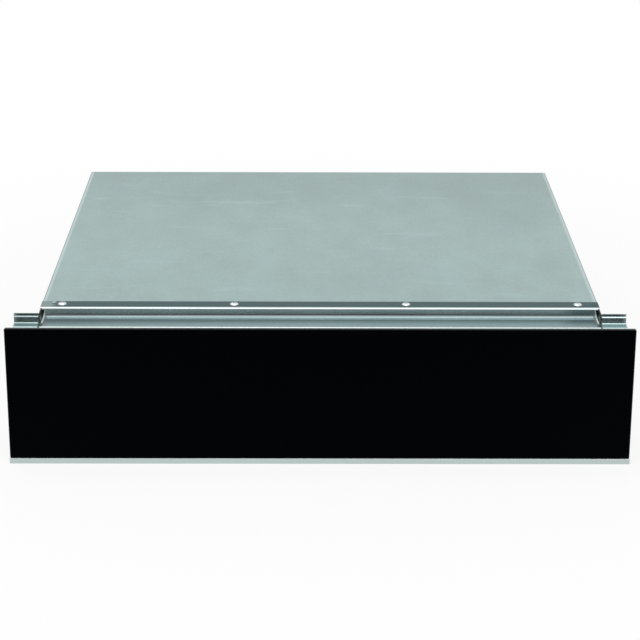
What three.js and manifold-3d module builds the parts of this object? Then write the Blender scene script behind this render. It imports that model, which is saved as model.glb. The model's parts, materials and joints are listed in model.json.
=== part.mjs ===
// A built-in warming drawer for a 60 cm kitchen housing: a galvanised casing with a stepped front
// rail and two mounting wings, and a push-to-open steel drawer on ball-bearing runners behind a
// black glass front. Millimetres, +X right, +Y to the back, +Z up. The origin is the middle of the
// base. Inside the assembly group, y is the distance behind the face of the glass.
import * as THREE from "three";
import Module from "manifold-3d";
import { mergeVertices } from "three/addons/utils/BufferGeometryUtils.js";

const manifoldLibrary = await Module();
manifoldLibrary.setup();

// ---- Overall sizes ----
const frontWidth = 597;
const frontHeight = 138;
const overallDepth = 548;
const casingWidth = 541;
const casingHeight = 141;
const seatGap = 0.3; // left between pieces that rest on each other
const frontLift = 0.5; // lower edge of the front above the base

// ---- Sheet thicknesses ----
const wallSheet = 1;
const coverSheet = 0.8;
const railSheet = 0.8;
const wingSheet = 1;

// ---- Drawer front ----
const glassThickness = 4;
const glassInset = 0.5; // glass edge inside the ends of the trim
const glassChamfer = 0.8;
const trimHeight = 5.5;
const trimSheet = 1.2;
const doorThickness = 19.5; // face of the glass to the back of the inner shell
const shellSheet = 1;
const shellInset = 10.5; // end of the shell inside the end of the front
const shellTopDrop = 8; // top of the shell below the top of the glass
const shellLip = 12; // frame that the glass is bonded to
const sealThickness = 1.2;
const sealWidth = 6;
const sealTopMargin = 3; // top of the seal below the top of the shell
const sealBottomMargin = 2.5;
const sealSideMargin = 2.1; // end of the seal inside the side panel

// ---- Travel ----
const pushTravel = 3; // the front is pushed in by this to release it
const pushClearance = 0.3; // left between seal and casing when it is pushed in

// ---- Casing front ----
const ledgeDepth = 28.7;
const ledgeDrop = 9.5;
const railFlangeWidth = 19.5;
const railFaceHeight = 13.5;
const railReturn = 11.7;
const railBendRadius = 1.4;
const railCoveRadius = 2.6;
const railLedgeRelief = 0.3; // ends of the ledge inside the ends of the rail's face
const railStepRelief = 2.5; // and upper ends of the step
const railReliefTop = 1.8; // bend and flange above the relief, which reach out over the side panels
const railReliefSetback = 4; // relief behind the rail's face
const bottomRailHeight = 13.2;
const bottomRailFlange = 36;
const screwCount = 4;
const screwEndInset = 18.4; // outer screws inside the ends of the rail
const screwSetback = 9.5; // screw centre behind the step
const screwHeadRadius = 4.1;
const screwHeadHeight = 2;
const screwShankRadius = 1.9;
const screwShankLength = 8;
const screwHoleClearance = 0.4;

// ---- Mounting wings ----
const wingWidth = 22.5;
const wingPlateSetback = 11.2; // plate behind the casing's front plane
const wingJoggle = 2;
const wingLipHeight = 2.5;
const wingLipStep = 0.9; // lips behind the wing's plate
const wingBandHeight = 19.5; // front band at the top of the wing
const wingLowerBandTop = 28;
const wingLowerBandBottom = 12;
const wingBandSlope = 7;
const wingSideFlange = 14.5;
const wingBaseGap = 2;
const wingHoleRadius = 2.5;
const wingHoleSpacing = 40;

// ---- Top cover, base and back ----
const coverFlangeHeight = 12;
const panelFlangeWidth = 12;
const panelLap = 1.2; // start of the cover behind the rail's step
const baseRibWidth = 24;
const baseRibHeight = 3;
const baseRibSpacing = 90;
const baseRibSlope = 4;
const baseRibCount = 4;
const baseRibMargin = 14; // end of a rib from the bottom rail and from the baffle
const backRecess = 12;
const backEdgeInset = 1.1; // rear edges of base and sides inside the cover's rear flange
const backEarHeight = 16; // ears on the side panels that the back is screwed to
const louvreCount = 7;
const louvreLength = 56;
const louvreHeight = 3.2;
const louvrePitch = 9;
const louvreBankInset = 118; // middle of a bank of louvres inside the side panel
const louvreBankZ = 74;

// ---- Runners ----
const runnerBottom = 16;
const runnerHeight = 45;
const runnerWidth = 12.7;
const runnerBackGap = 16; // end of the runner in front of the baffle
const runnerOverlap = 20; // closed length beyond the travel
const runnerFront = 28;
const runnerSheet = 1.4;
const ballRadius = 1.75;
const ballClearance = 0.1;
const ballsPerRow = 4;
const cageSheet = 0.7;
const cageMargin = 14; // length by which a cage stays inside its members at full travel
const middleWebGap = 1.8; // web of the middle member from the web of the casing member
const middleFlange = 8.5;
const innerFlange = 6.2;
const postClearance = 3;

// ---- Drawer box ----
const sideSpace = 43.4; // side of the box inside the side panel
const tubBackGap = 14; // back of the box in front of the baffle
const tubBottom = 21;
const tubTopGap = 2; // rim of the box below the front rail
const tubSheet = 1;
const tubCornerRadius = 14;
const tubHemWidth = 2.2;
const tubHemHeight = 3;
const tubSlotCount = 9;
const tubSlotWidth = 3.4;
const tubSlotHeight = 34;
const tubSlotPitch = 10;
const tubSlotBankInset = 85; // middle of a bank of slots inside the side of the box
const tubSlotZ = 74;
const matThickness = 2;
const matMargin = 3;
const bracketSheet = 1.2;
const bracketTop = 57;
const bracketTubFlange = 17;
const bracketEndGap = 2;
const doorScrewSideInset = 35; // screws inside the side of the box
const doorScrewRise = 24; // lower screws above its floor
const doorScrewDrop = 21; // upper screws below its rim
const shellVentCount = 5;
const shellVentPitch = 100;
const shellVentLength = 60;
const shellVentWidth = 6;

// ---- Front posts and controls ----
const postSheet = 0.8;
const postSideClearance = 0.8; // left between the rim of the box and a post
const postReturn = 15.7;
const controlWidth = 24;
const controlFrameMargin = 3.85; // recess inside the height of the post
const controlInset = 16; // middle of the controls beside the post's inner edge
const controlWall = 1.2;
const controlRecess = 8.5;
const controlPlate = 2;
const controlDepth = 33;
const knobRadius = 8;
const knobLength = 8;
const knobTopMargin = 1.5; // knob below the top of the recess
const knobPlateGap = 0.8;
const knobGrips = 12;
const knobGripRadius = 1.1;
const stemRadius = 3;
const stemLength = 14;
const stemClearance = 0.3;
const thermostatRadius = 8.5;
const thermostatLength = 18;
const rockerWidth = 12;
const rockerHeight = 12;
const rockerDepth = 7;
const rockerBottomMargin = 2; // rocker above the bottom of the recess
const rockerOffset = 3; // rocker to the left of the knob's axis
const rockerClearance = 1;
const rockerTilt = 6; // degrees either side of level
const lampRadius = 2.2;
const lampOffset = 8; // lamp to the right of the knob's axis
const lampLength = 4.5;
const lampStand = 1; // lens in front of the plate

// ---- Rear compartment ----
const rearDepth = 50; // compartment between the baffle and the back
const baffleSheet = 1;
const baffleReturn = 12;
const fanTipGap = 8.8; // left between the wheel and the heater
const fanWidth = 15;
const fanGap = 5; // front of the wheel behind the baffle
const fanBladeCount = 14;
const fanBladeInner = 30;
const fanBladeSheet = 1.2;
const fanDiscSheet = 1.5;
const fanHubRadius = 8;
const fanShaftRadius = 3;
const fanShaftLength = 14;
const inletRingCount = 3;
const inletSlotWidth = 3.6;
const inletRingPitch = 9;
const inletFirstRadius = 14;
const motorGap = 4;
const motorRadius = 29;
const motorLength = 19;
const motorArmWidth = 12;
const motorFootRadius = 42;
const motorArmSheet = 3;
const motorArmCount = 3;
const heaterMargin = 5.5; // left between the heater and the base or the ceiling
const heaterTubeRadius = 3.2;
const heaterSetback = 10;
const heaterGapAngle = 0.5; // half of the ring's open angle, in radians
const heaterBend = 8;
const ejectorSideInset = 20; // plunger inside the side of the box
const ejectorDrop = 21; // plunger below the rim of the box
const ejectorRadius = 4;
const ejectorHousingRadius = 8.5;
const ejectorHousingLength = 32;
const ejectorTravel = 8;
const ejectorClearance = 0.4;
const ejectorFloor = 3; // closed end of the housing
const limiterX = -95;
const limiterDrop = 31; // limit thermostat below the ceiling
const limiterRadius = 8;
const limiterLength = 7;
const terminalWidth = 50;
const terminalHeight = 48;
const terminalDepth = 28;
const terminalSideInset = 58; // middle of the terminal box inside the side panel
const terminalZ = 44;
const grommetRadius = 9;
const grommetNose = 8;
const grommetZ = 32;

// ---- Ceiling liner, latch, lead ----
const linerClearance = 5; // liner above the rim of the box
const linerSheet = 0.8;
const linerUpstand = 12;
const linerFrontGap = 2;
const latchLength = 84;
const latchWidth = 34;
const latchHeight = 8.6;
const latchCornerRadius = 4;
const latchBackGap = 4; // latch in front of the baffle
const followerLength = 52;
const followerWidth = 6;
const followerSheet = 1.6;
const followerPinRadius = 1.5;
const followerClearance = 0.4;
const followerPivotRadius = 5;
const camWidth = 30;
const camLength = 30;
const camGroove = 3.8;
const camGrooveDepth = 2;
const camIslandRadius = 4;
const camBottomClearance = 0.5; // cam above the bottom rail
const leadRadius = 2.5;
const leadWallGap = 4;
const clipWall = 1.3;
const clipLength = 9;
const clipFrontY = 150;
const clipRearGap = 144; // rear clip in front of the baffle

// ---- Smoothness ----
const bendSteps = 5;
const roundSegments = 20;

// ---- Derived places ----
const halfFront = frontWidth / 2;
const frontTop = frontLift + frontHeight;
const glassBottom = frontLift + trimHeight + seatGap;
const shellBottom = frontLift + trimSheet + seatGap;
const shellTop = frontTop - shellTopDrop;
const shellHalf = halfFront - shellInset;
const shellFront = glassThickness + seatGap;
const sealFront = doorThickness + seatGap;
const frameFace = sealFront + sealThickness + pushTravel + pushClearance;
const coverHalf = casingWidth / 2;
const coverTop = casingHeight - railSheet - seatGap;
const coverUnderside = coverTop - coverSheet;
const flangeHalf = coverHalf - seatGap; // half-length of the rail's flange
const panelOuter = coverHalf - coverSheet - seatGap;
const panelInner = panelOuter - wallSheet;
const fillHalf = panelInner - seatGap; // half-width of what fits between the side panels
const panelBottom = wallSheet + seatGap;
const panelTop = coverUnderside - seatGap;
const stepFace = frameFace + ledgeDepth;
const ledgeTop = casingHeight - ledgeDrop;
const railBottom = ledgeTop - railFaceHeight;
const flangeRear = stepFace + railFlangeWidth;
const coverFront = stepFace + railSheet + panelLap;
const bottomRailTop = panelBottom + bottomRailHeight;
const wingPlate = frameFace + wingPlateSetback;
const wingBack = wingPlate + wingJoggle; // front face of the wing's flat plate
const wingLip = wingPlate + wingLipStep;
const wingInner = panelOuter + seatGap;
const wingOuter = wingInner + wingWidth + wingSheet;
const backFace = overallDepth - backEdgeInset; // rear edges of base and sides
const backPlane = backFace - backRecess; // outer face of the back
const backInner = backPlane - wallSheet;
const baffleFace = backInner - rearDepth;
const baffleBack = baffleFace + baffleSheet;
const screwPitch = (2 * (fillHalf - screwEndInset)) / (screwCount - 1);
const screwY = stepFace + screwSetback;
const runnerLength = baffleFace - runnerBackGap - runnerFront;
const openTravel = runnerLength - runnerOverlap;
const cageLength = runnerLength - openTravel / 2 - cageMargin;
const tubHalf = panelInner - sideSpace;
const tubFront = doorThickness + seatGap;
const tubBack = baffleFace - tubBackGap;
const sealBottom = shellBottom + sealBottomMargin;
const sealTop = shellTop - sealTopMargin;
const tubTop = Math.min(railBottom - tubTopGap, sealTop - sealWidth - seatGap); // inside rail and seal
const tubFloorTop = tubBottom + tubSheet;
const tubSlotBankX = tubHalf - tubSlotBankInset;
const doorScrewX = tubHalf - doorScrewSideInset;
const bracketOuter = fillHalf - runnerWidth - seatGap;
const postInnerX = tubHalf + tubHemWidth + postSideClearance;
const postBottom = runnerBottom + runnerHeight + postClearance;
const postTop = railBottom - seatGap;
const controlX = postInnerX + controlInset;
const controlZ = (postBottom + postTop) / 2;
const controlHeight = postTop - postBottom - 2 * controlFrameMargin;
const knobZ = controlZ + controlHeight / 2 - knobTopMargin - knobRadius;
const rockerX = controlX - rockerOffset;
const rockerZ = controlZ - controlHeight / 2 + rockerBottomMargin + rockerHeight / 2;
const lampX = controlX + lampOffset;
const linerZ = tubTop + linerClearance;
const fanZ = (panelBottom + panelTop) / 2;
const heaterRingRadius = (panelTop - panelBottom) / 2 - heaterMargin - heaterTubeRadius;
const fanRadius = heaterRingRadius - heaterTubeRadius - fanTipGap;
const louvreBankX = panelInner - louvreBankInset;
const ejectorX = tubHalf - ejectorSideInset;
const ejectorZ = tubTop - ejectorDrop;
const terminalX = panelInner - terminalSideInset;
const grommetX = terminalX;
const limiterZ = panelTop - limiterDrop;
const latchFront = baffleFace - latchBackGap - latchLength;
const clipRearY = baffleFace - clipRearGap;

// ---- Finishes ----
const finishes = {
  zinc: { color: 0xa6b8b6, roughness: 0.42, metalness: 0.85 },
  brightZinc: { color: 0xb4c2c0, roughness: 0.25, metalness: 0.9 },
  steel: { color: 0xc3cbc9, roughness: 0.3, metalness: 1 },
  glass: { color: 0x050608, roughness: 0.05, metalness: 0 },
  rubber: { color: 0x2b2d2f, roughness: 0.85, metalness: 0 },
  mat: { color: 0x3c4043, roughness: 0.8, metalness: 0 },
  plastic: { color: 0x17181a, roughness: 0.5, metalness: 0 },
  palePlastic: { color: 0xd9d9d2, roughness: 0.55, metalness: 0 },
  lamp: { color: 0xd8592b, roughness: 0.2, metalness: 0 },
  element: { color: 0x4c4a47, roughness: 0.55, metalness: 0.7 },
  motor: { color: 0x6d7274, roughness: 0.4, metalness: 0.8 },
};

// ---- Scene graph helpers ----
function addPart(group, name, geometry, finish, [x, y, z] = [0, 0, 0]) {
  const mesh = new THREE.Mesh(geometry, new THREE.MeshStandardMaterial(finishes[finish]));
  mesh.name = name;
  mesh.position.set(x, y, z);
  group.add(mesh);
  return mesh;
}

function addGroup(parent, [x, y, z] = [0, 0, 0]) {
  const group = new THREE.Group();
  group.position.set(x, y, z);
  parent.add(group);
  return group;
}

// ---- Solid helpers ----
function toSolid(geometry) {
  const bare = geometry.clone();
  bare.deleteAttribute("normal");
  bare.deleteAttribute("uv");
  const merged = mergeVertices(bare, 1e-4);
  return new manifoldLibrary.Manifold(
    new manifoldLibrary.Mesh({
      numProp: 3,
      vertProperties: merged.attributes.position.array,
      triVerts: new Uint32Array(merged.index.array),
    }),
  );
}

function toGeometry(solid) {
  const { numProp, vertProperties, triVerts } = solid.getMesh();
  const count = vertProperties.length / numProp;
  const positions = new Float32Array(count * 3);
  for (let i = 0; i < count; i++) {
    positions.set(vertProperties.subarray(i * numProp, i * numProp + 3), i * 3);
  }
  const geometry = new THREE.BufferGeometry();
  geometry.setAttribute("position", new THREE.BufferAttribute(positions, 3));
  geometry.setIndex(new THREE.BufferAttribute(triVerts, 1));
  geometry.computeVertexNormals();
  return geometry;
}

function join(...geometries) {
  return toGeometry(geometries.map(toSolid).reduce((whole, piece) => whole.add(piece)));
}

function cut(geometry, ...tools) {
  return toGeometry(tools.map(toSolid).reduce((whole, tool) => whole.subtract(tool), toSolid(geometry)));
}

function block(x0, x1, y0, y1, z0, z1) {
  const geometry = new THREE.BoxGeometry(x1 - x0, y1 - y0, z1 - z0);
  return geometry.translate((x0 + x1) / 2, (y0 + y1) / 2, (z0 + z1) / 2);
}

// A cylinder along Y or Z, from a low end to a high end.
function rodY(x, z, radius, y0, y1, segments = roundSegments) {
  return new THREE.CylinderGeometry(radius, radius, y1 - y0, segments).translate(x, (y0 + y1) / 2, z);
}

function rodZ(x, y, radius, z0, z1, segments = roundSegments) {
  const geometry = new THREE.CylinderGeometry(radius, radius, z1 - z0, segments);
  return geometry.rotateX(Math.PI / 2).translate(x, y, (z0 + z1) / 2);
}

function shapeOf(points, holes = []) {
  const shape = new THREE.Shape(points.map(([a, b]) => new THREE.Vector2(a, b)));
  shape.holes = holes.map((hole) => new THREE.Path(hole.map(([a, b]) => new THREE.Vector2(a, b))));
  return shape;
}

function extrude(shape, length) {
  return new THREE.ExtrudeGeometry(shape, { depth: length, bevelEnabled: false });
}

// Outlines in (y, z), (x, z) and (x, y), extruded along X, Y and Z.
const yzxToXyz = new THREE.Matrix4().set(0, 0, 1, 0, 1, 0, 0, 0, 0, 1, 0, 0, 0, 0, 0, 1);

function alongX(outline, x0, x1, holes) {
  return extrude(shapeOf(outline, holes), x1 - x0).applyMatrix4(yzxToXyz).translate(x0, 0, 0);
}

function alongY(outline, y0, y1, holes) {
  return extrude(shapeOf(outline, holes), y1 - y0).rotateX(Math.PI / 2).translate(0, y1, 0);
}

function alongZ(outline, z0, z1, holes) {
  return extrude(shapeOf(outline, holes), z1 - z0).translate(0, 0, z0);
}

// A folded line with a round bend of the given radius at each inner corner.
function folded(points, radii) {
  const made = [points[0]];
  for (let i = 1; i < points.length - 1; i++) {
    const radius = Array.isArray(radii) ? radii[i - 1] : radii;
    const corner = new THREE.Vector2(...points[i]);
    const back = new THREE.Vector2(...points[i - 1]).sub(corner).normalize();
    const ahead = new THREE.Vector2(...points[i + 1]).sub(corner).normalize();
    const half = Math.acos(THREE.MathUtils.clamp(back.dot(ahead), -1, 1)) / 2;
    if (!radius) {
      made.push(points[i]);
      continue;
    }
    const reach = radius / Math.tan(half);
    const centre = back.clone().add(ahead).normalize().multiplyScalar(radius / Math.sin(half)).add(corner);
    const start = back.clone().multiplyScalar(reach).add(corner).sub(centre);
    const end = ahead.clone().multiplyScalar(reach).add(corner).sub(centre);
    const turn = Math.atan2(start.cross(end), start.dot(end));
    for (let k = 0; k <= bendSteps; k++) {
      const p = start.clone().rotateAround(new THREE.Vector2(), (turn * k) / bendSteps).add(centre);
      made.push([p.x, p.y]);
    }
  }
  made.push(points[points.length - 1]);
  return made;
}

// The closed outline of a sheet that follows a line, with its thickness to the left of the line.
function sheetOutline(line, thickness) {
  const normals = line.slice(1).map(([x, y], i) => {
    const direction = new THREE.Vector2(x - line[i][0], y - line[i][1]).normalize();
    return new THREE.Vector2(-direction.y, direction.x);
  });
  const offset = line.map(([x, y], i) => {
    const before = normals[Math.max(i - 1, 0)];
    const after = normals[Math.min(i, normals.length - 1)];
    const mitre = before.clone().add(after).divideScalar(1 + before.dot(after));
    return [x + mitre.x * thickness, y + mitre.y * thickness];
  });
  return [...line, ...offset.reverse()];
}

function rectangle(a0, a1, b0, b1) {
  return [[a0, b0], [a1, b0], [a1, b1], [a0, b1]];
}

function roundedRectangle(a0, a1, b0, b1, radius) {
  const corners = [[a1 - radius, b0 + radius, -90], [a1 - radius, b1 - radius, 0],
    [a0 + radius, b1 - radius, 90], [a0 + radius, b0 + radius, 180]];
  return corners.flatMap(([a, b, from]) =>
    Array.from({ length: bendSteps + 1 }, (_, k) => {
      const angle = THREE.MathUtils.degToRad(from + (90 * k) / bendSteps);
      return [a + radius * Math.cos(angle), b + radius * Math.sin(angle)];
    }),
  );
}

function circle(a, b, radius, segments = roundSegments) {
  return Array.from({ length: segments }, (_, k) => {
    const angle = (2 * Math.PI * k) / segments;
    return [a + radius * Math.cos(angle), b + radius * Math.sin(angle)];
  });
}

// Evenly spaced places, centred on the middle.
function spread(count, pitch, middle = 0) {
  return Array.from({ length: count }, (_, i) => middle + (i - (count - 1) / 2) * pitch);
}

function mirrored(outline, side) {
  return outline.map(([x, z]) => [side * x, z]);
}

// A pan-head screw whose head sits on z = 0 and whose shank points down.
function panScrew() {
  const crown = screwHeadRadius * 0.55;
  const profile = [[0, -screwShankLength], [screwShankRadius * 0.5, -screwShankLength],
    [screwShankRadius, -screwShankLength + screwShankRadius], [screwShankRadius, 0],
    [screwHeadRadius, 0], [screwHeadRadius, screwHeadHeight * 0.4],
    [crown + (screwHeadRadius - crown) * 0.7, screwHeadHeight * 0.8], [crown, screwHeadHeight],
    [0, screwHeadHeight]];
  const lathe = new THREE.LatheGeometry(profile.map(([r, z]) => new THREE.Vector2(r, z)), roundSegments);
  return lathe.rotateX(Math.PI / 2);
}

// ---- Casing ----
function basePan() {
  const y0 = frameFace + bottomRailFlange + baseRibMargin;
  const y1 = baffleFace - baseRibMargin;
  const rib = (x, sheet) => {
    const half = baseRibWidth / 2 - wallSheet + sheet;
    const bottom = sheet > 0 ? 0 : -1;
    const section = [[x - half, bottom], [x + half, bottom],
      [x + half - baseRibSlope, baseRibHeight + sheet], [x - half + baseRibSlope, baseRibHeight + sheet]];
    return alongY(section, y0 + wallSheet - sheet, y1 - wallSheet + sheet);
  };
  const places = spread(baseRibCount, baseRibSpacing);
  const plate = block(-panelOuter, panelOuter, frameFace + seatGap, backFace, 0, wallSheet);
  const raised = join(plate, ...places.map((x) => rib(x, wallSheet)));
  return cut(raised, ...places.map((x) => rib(x, 0)));
}

// A side panel: a wall with its lower and upper flanges turned in, an ear beside the rail, and an ear
// at the rear end of each flange for the back.
function sidePanel(side) {
  const earBack = stepFace - seatGap;
  const wall = [[frameFace + seatGap, panelBottom], [backFace, panelBottom], [backFace, panelTop],
    [earBack, panelTop], [earBack, casingHeight], [wingPlate, casingHeight],
    [wingPlate, ledgeTop - wallSheet], [frameFace + seatGap, ledgeTop - wallSheet]];
  const [x0, x1] = side > 0 ? [panelInner, panelOuter] : [-panelOuter, -panelInner];
  const [f0, f1] = side > 0 ? [panelInner - panelFlangeWidth, panelInner + wallSheet / 2]
    : [-panelInner - wallSheet / 2, -panelInner + panelFlangeWidth];
  const lowerStart = frameFace + bottomRailFlange + wallSheet;
  const flangeEnd = backPlane - wallSheet - seatGap;
  return join(
    alongX(wall, x0, x1),
    block(f0, f1, lowerStart, flangeEnd, panelBottom, panelBottom + wallSheet),
    block(f0, f1, coverFront + wallSheet, flangeEnd, panelTop - wallSheet, panelTop),
    block(f0, f1, flangeEnd - wallSheet, flangeEnd, panelBottom, panelBottom + backEarHeight),
    block(f0, f1, flangeEnd - wallSheet, flangeEnd, panelTop - backEarHeight, panelTop),
  );
}

function topCover() {
  const line = [[-coverHalf, coverTop - coverFlangeHeight], [-coverHalf, coverTop],
    [coverHalf, coverTop], [coverHalf, coverTop - coverFlangeHeight]];
  const bent = folded(line, coverSheet * 1.5).reverse();
  const channel = alongY(sheetOutline(bent, coverSheet), coverFront, overallDepth);
  const rear = block(-panelOuter, panelOuter, overallDepth - coverSheet, overallDepth,
    coverTop - coverFlangeHeight, coverTop - coverSheet / 2);
  const holes = spread(screwCount, screwPitch).map((x) =>
    rodZ(x, screwY, screwShankRadius + screwHoleClearance, coverUnderside - 1, coverTop + 1));
  return cut(join(channel, rear), ...holes);
}

// The stepped front rail: flange on the cover, step, ledge, front face and lower return. Below the
// flange it fits between the side panels, and its step and ledge are relieved at both ends.
function frontTopRail() {
  const line = folded(
    [[flangeRear, casingHeight], [stepFace, casingHeight], [stepFace, ledgeTop],
      [frameFace, ledgeTop], [frameFace, railBottom], [frameFace + railReturn, railBottom]],
    [railBendRadius, railCoveRadius, railBendRadius, railBendRadius],
  );
  const rail = alongX(sheetOutline(line, railSheet), -flangeHalf, flangeHalf);
  const holes = spread(screwCount, screwPitch).map((x) =>
    rodZ(x, screwY, screwShankRadius + screwHoleClearance, coverTop - 1, casingHeight + 1));
  const far = flangeHalf + 1;
  const stepBack = stepFace + railSheet + 1;
  const cutTop = casingHeight - railReliefTop;
  const underLedge = ledgeTop - railSheet - 1;
  const overhang = rectangle(fillHalf, far, railBottom - 1, cutTop);
  const relief = [[fillHalf - railLedgeRelief, underLedge], [far, underLedge], [far, cutTop],
    [fillHalf - railStepRelief, cutTop], [fillHalf - railLedgeRelief, ledgeTop]];
  const ends = [-1, 1].flatMap((side) => [
    alongY(mirrored(overhang, side), frameFace - 1, stepBack),
    alongY(mirrored(relief, side), frameFace + railReliefSetback, stepBack),
  ]);
  return cut(rail, ...holes, ...ends);
}

function frontBottomRail() {
  const line = folded(
    [[frameFace + railReturn, bottomRailTop], [frameFace, bottomRailTop], [frameFace, panelBottom],
      [frameFace + bottomRailFlange, panelBottom]],
    railBendRadius,
  );
  return alongX(sheetOutline(line, railSheet), -fillHalf, fillHalf);
}

// A wing: a pressed strip whose two front bands line up with the casing's front plane and whose
// flat middle lies against the front edge of the cabinet, with a flange along the side panel.
function mountingWing(side) {
  const top = casingHeight;
  const bandBottom = ledgeTop - wingBandHeight;
  const line = folded([
    [wingLip, top], [wingLip, top - wingLipHeight], [wingPlate, top - wingLipHeight - wingLipStep],
    [wingPlate, ledgeTop], [frameFace, ledgeTop], [frameFace, bandBottom],
    [wingBack, bandBottom - wingBandSlope], [wingBack, wingLowerBandTop + wingBandSlope],
    [frameFace, wingLowerBandTop], [frameFace, wingLowerBandBottom], [wingPlate, wingLowerBandBottom],
    [wingPlate, wingBaseGap + wingLipHeight + wingLipStep], [wingLip, wingBaseGap + wingLipHeight],
    [wingLip, wingBaseGap],
  ], [0.6, 0.6, 1.2, 1.4, 1.4, 2, 2, 1.4, 1.4, 1.2, 0.6, 0.6]);
  const [x0, x1] = side > 0 ? [wingInner, wingOuter] : [-wingOuter, -wingInner];
  const [f0, f1] = side > 0 ? [wingInner, wingInner + wingSheet] : [-wingInner - wingSheet, -wingInner];
  const strip = alongX(sheetOutline(line, wingSheet), x0, x1);
  const flange = block(f0, f1, wingBack + wingSheet / 2, wingBack + wingSideFlange,
    wingLowerBandTop + wingBandSlope, bandBottom - wingBandSlope);
  const middleX = side * (wingInner + wingOuter + wingSheet) / 2;
  const middleZ = (bandBottom + wingLowerBandTop) / 2;
  const holes = spread(2, wingHoleSpacing, middleZ).map((z) =>
    rodY(middleX, z, wingHoleRadius, wingBack - 1, wingBack + wingSheet + 1));
  return cut(join(strip, flange), ...holes);
}

// A post: the folded strip beside the drawer's opening, with a window for the controls on the right.
function frontPost(side) {
  const line = mirrored([[fillHalf, frameFace + postReturn], [fillHalf, frameFace],
    [postInnerX, frameFace], [postInnerX, frameFace + postReturn]], side);
  const turned = side > 0 ? line.reverse() : line;
  const channel = alongZ(sheetOutline(turned, postSheet), postBottom, postTop);
  if (side < 0) return channel;
  return cut(channel, block(controlX - controlWidth / 2, controlX + controlWidth / 2, frameFace - 1,
    frameFace + postSheet + 1, controlZ - controlHeight / 2, controlZ + controlHeight / 2));
}

// The back: a plate set in from the rear edges of the casing, with banks of louvre slots.
function rearPanel() {
  const plate = block(-fillHalf, fillHalf, backInner, backPlane, panelBottom, panelTop);
  const slots = [-louvreBankX, louvreBankX].flatMap((x) =>
    spread(louvreCount, louvrePitch, louvreBankZ).map((z) =>
      block(x - louvreLength / 2, x + louvreLength / 2, backInner - 1, backPlane + 1,
        z - louvreHeight / 2, z + louvreHeight / 2)));
  const entry = rodY(grommetX, grommetZ, grommetRadius - 2, backInner - 1, backPlane + 1);
  return cut(plate, ...slots, entry);
}

function ceilingLiner() {
  const line = [[fillHalf, linerZ + linerUpstand], [fillHalf, linerZ], [-fillHalf, linerZ],
    [-fillHalf, linerZ + linerUpstand]];
  return alongY(sheetOutline(line.reverse(), linerSheet), coverFront + linerFrontGap, baffleFace - seatGap);
}

// ---- Runners ----
// Each runner is drawn for the right side, from the web on the side panel inwards; side mirrors it.
const trackGap = 2 * (ballRadius + ballClearance);
const middleBottom = runnerBottom + runnerSheet + trackGap;
const middleTop = runnerBottom + runnerHeight - runnerSheet - trackGap;
const innerBottom = middleBottom + runnerSheet + trackGap;
const innerTop = middleTop - runnerSheet - trackGap;
const middleWebOuter = fillHalf - runnerSheet - middleWebGap;
const innerWebX = fillHalf - runnerWidth;

function channelOutline(webX, flange, z0, z1) {
  const line = [[webX + flange, z0], [webX, z0], [webX, z1], [webX + flange, z1]];
  return sheetOutline(line, -Math.sign(flange) * runnerSheet);
}

function casingMember(side) {
  const outline = channelOutline(fillHalf, -runnerWidth, runnerBottom, runnerBottom + runnerHeight);
  return alongY(mirrored(outline, side), runnerFront, runnerFront + runnerLength);
}

function middleMember(side) {
  const outline = channelOutline(middleWebOuter, -middleFlange, middleBottom, middleTop);
  return alongY(mirrored(outline, side), runnerFront, runnerFront + runnerLength);
}

function drawerMember(side) {
  const outline = channelOutline(innerWebX, innerFlange, innerBottom, innerTop);
  return alongY(mirrored(outline, side), runnerFront, runnerFront + runnerLength);
}

// A ball cage: a folded strip with a row of balls along its lower and its upper leg.
function ballCage(side, webX, legEnd, z0, z1) {
  const half = cageSheet / 2;
  const line = [[legEnd, z0], [webX, z0], [webX, z1], [legEnd, z1]];
  const shifted = sheetOutline(line, half).slice(line.length).reverse();
  const outline = sheetOutline(shifted, -cageSheet);
  const y0 = runnerFront + (runnerLength - cageLength) / 2;
  const strip = alongY(mirrored(outline, side), y0, y0 + cageLength);
  const ballX = side * (innerWebX + runnerSheet + innerFlange / 2);
  const balls = [z0, z1].flatMap((z) =>
    spread(ballsPerRow, cageLength / ballsPerRow, y0 + cageLength / 2).map((y) =>
      new THREE.SphereGeometry(ballRadius, 8, 6).translate(ballX, y, z)));
  return join(strip, ...balls);
}

function outerCage(side) {
  const webX = middleWebOuter + middleWebGap / 2;
  return ballCage(side, webX, innerWebX + runnerSheet, runnerBottom + runnerSheet + trackGap / 2,
    runnerBottom + runnerHeight - runnerSheet - trackGap / 2);
}

function innerCage(side) {
  const webX = middleWebOuter - runnerSheet - seatGap - cageSheet / 2;
  return ballCage(side, webX, innerWebX + runnerSheet * 1.5, middleBottom + runnerSheet + trackGap / 2,
    middleTop - runnerSheet - trackGap / 2);
}

// ---- Drawer ----
function glassFront() {
  const c = glassChamfer;
  const half = halfFront - glassInset;
  const face = shapeOf(rectangle(-half + c, half - c, glassBottom + c, frontTop - c));
  const plate = new THREE.ExtrudeGeometry(face, {
    depth: glassThickness - 2 * c, bevelThickness: c, bevelSize: c, bevelSegments: 1,
  });
  return plate.rotateX(Math.PI / 2).translate(0, glassThickness - c, 0);
}

function frontTrim() {
  const outline = [[0, frontLift], [doorThickness, frontLift], [doorThickness, frontLift + trimSheet],
    [glassThickness, frontLift + trimSheet], [glassThickness, frontLift + trimHeight],
    [0, frontLift + trimHeight]];
  return alongX(outline, -halfFront, halfFront);
}

function doorScrewPlaces() {
  const heights = [tubBottom + doorScrewRise, tubTop - doorScrewDrop];
  return [-doorScrewX, doorScrewX].flatMap((x) => heights.map((z) => [x, z]));
}

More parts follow.
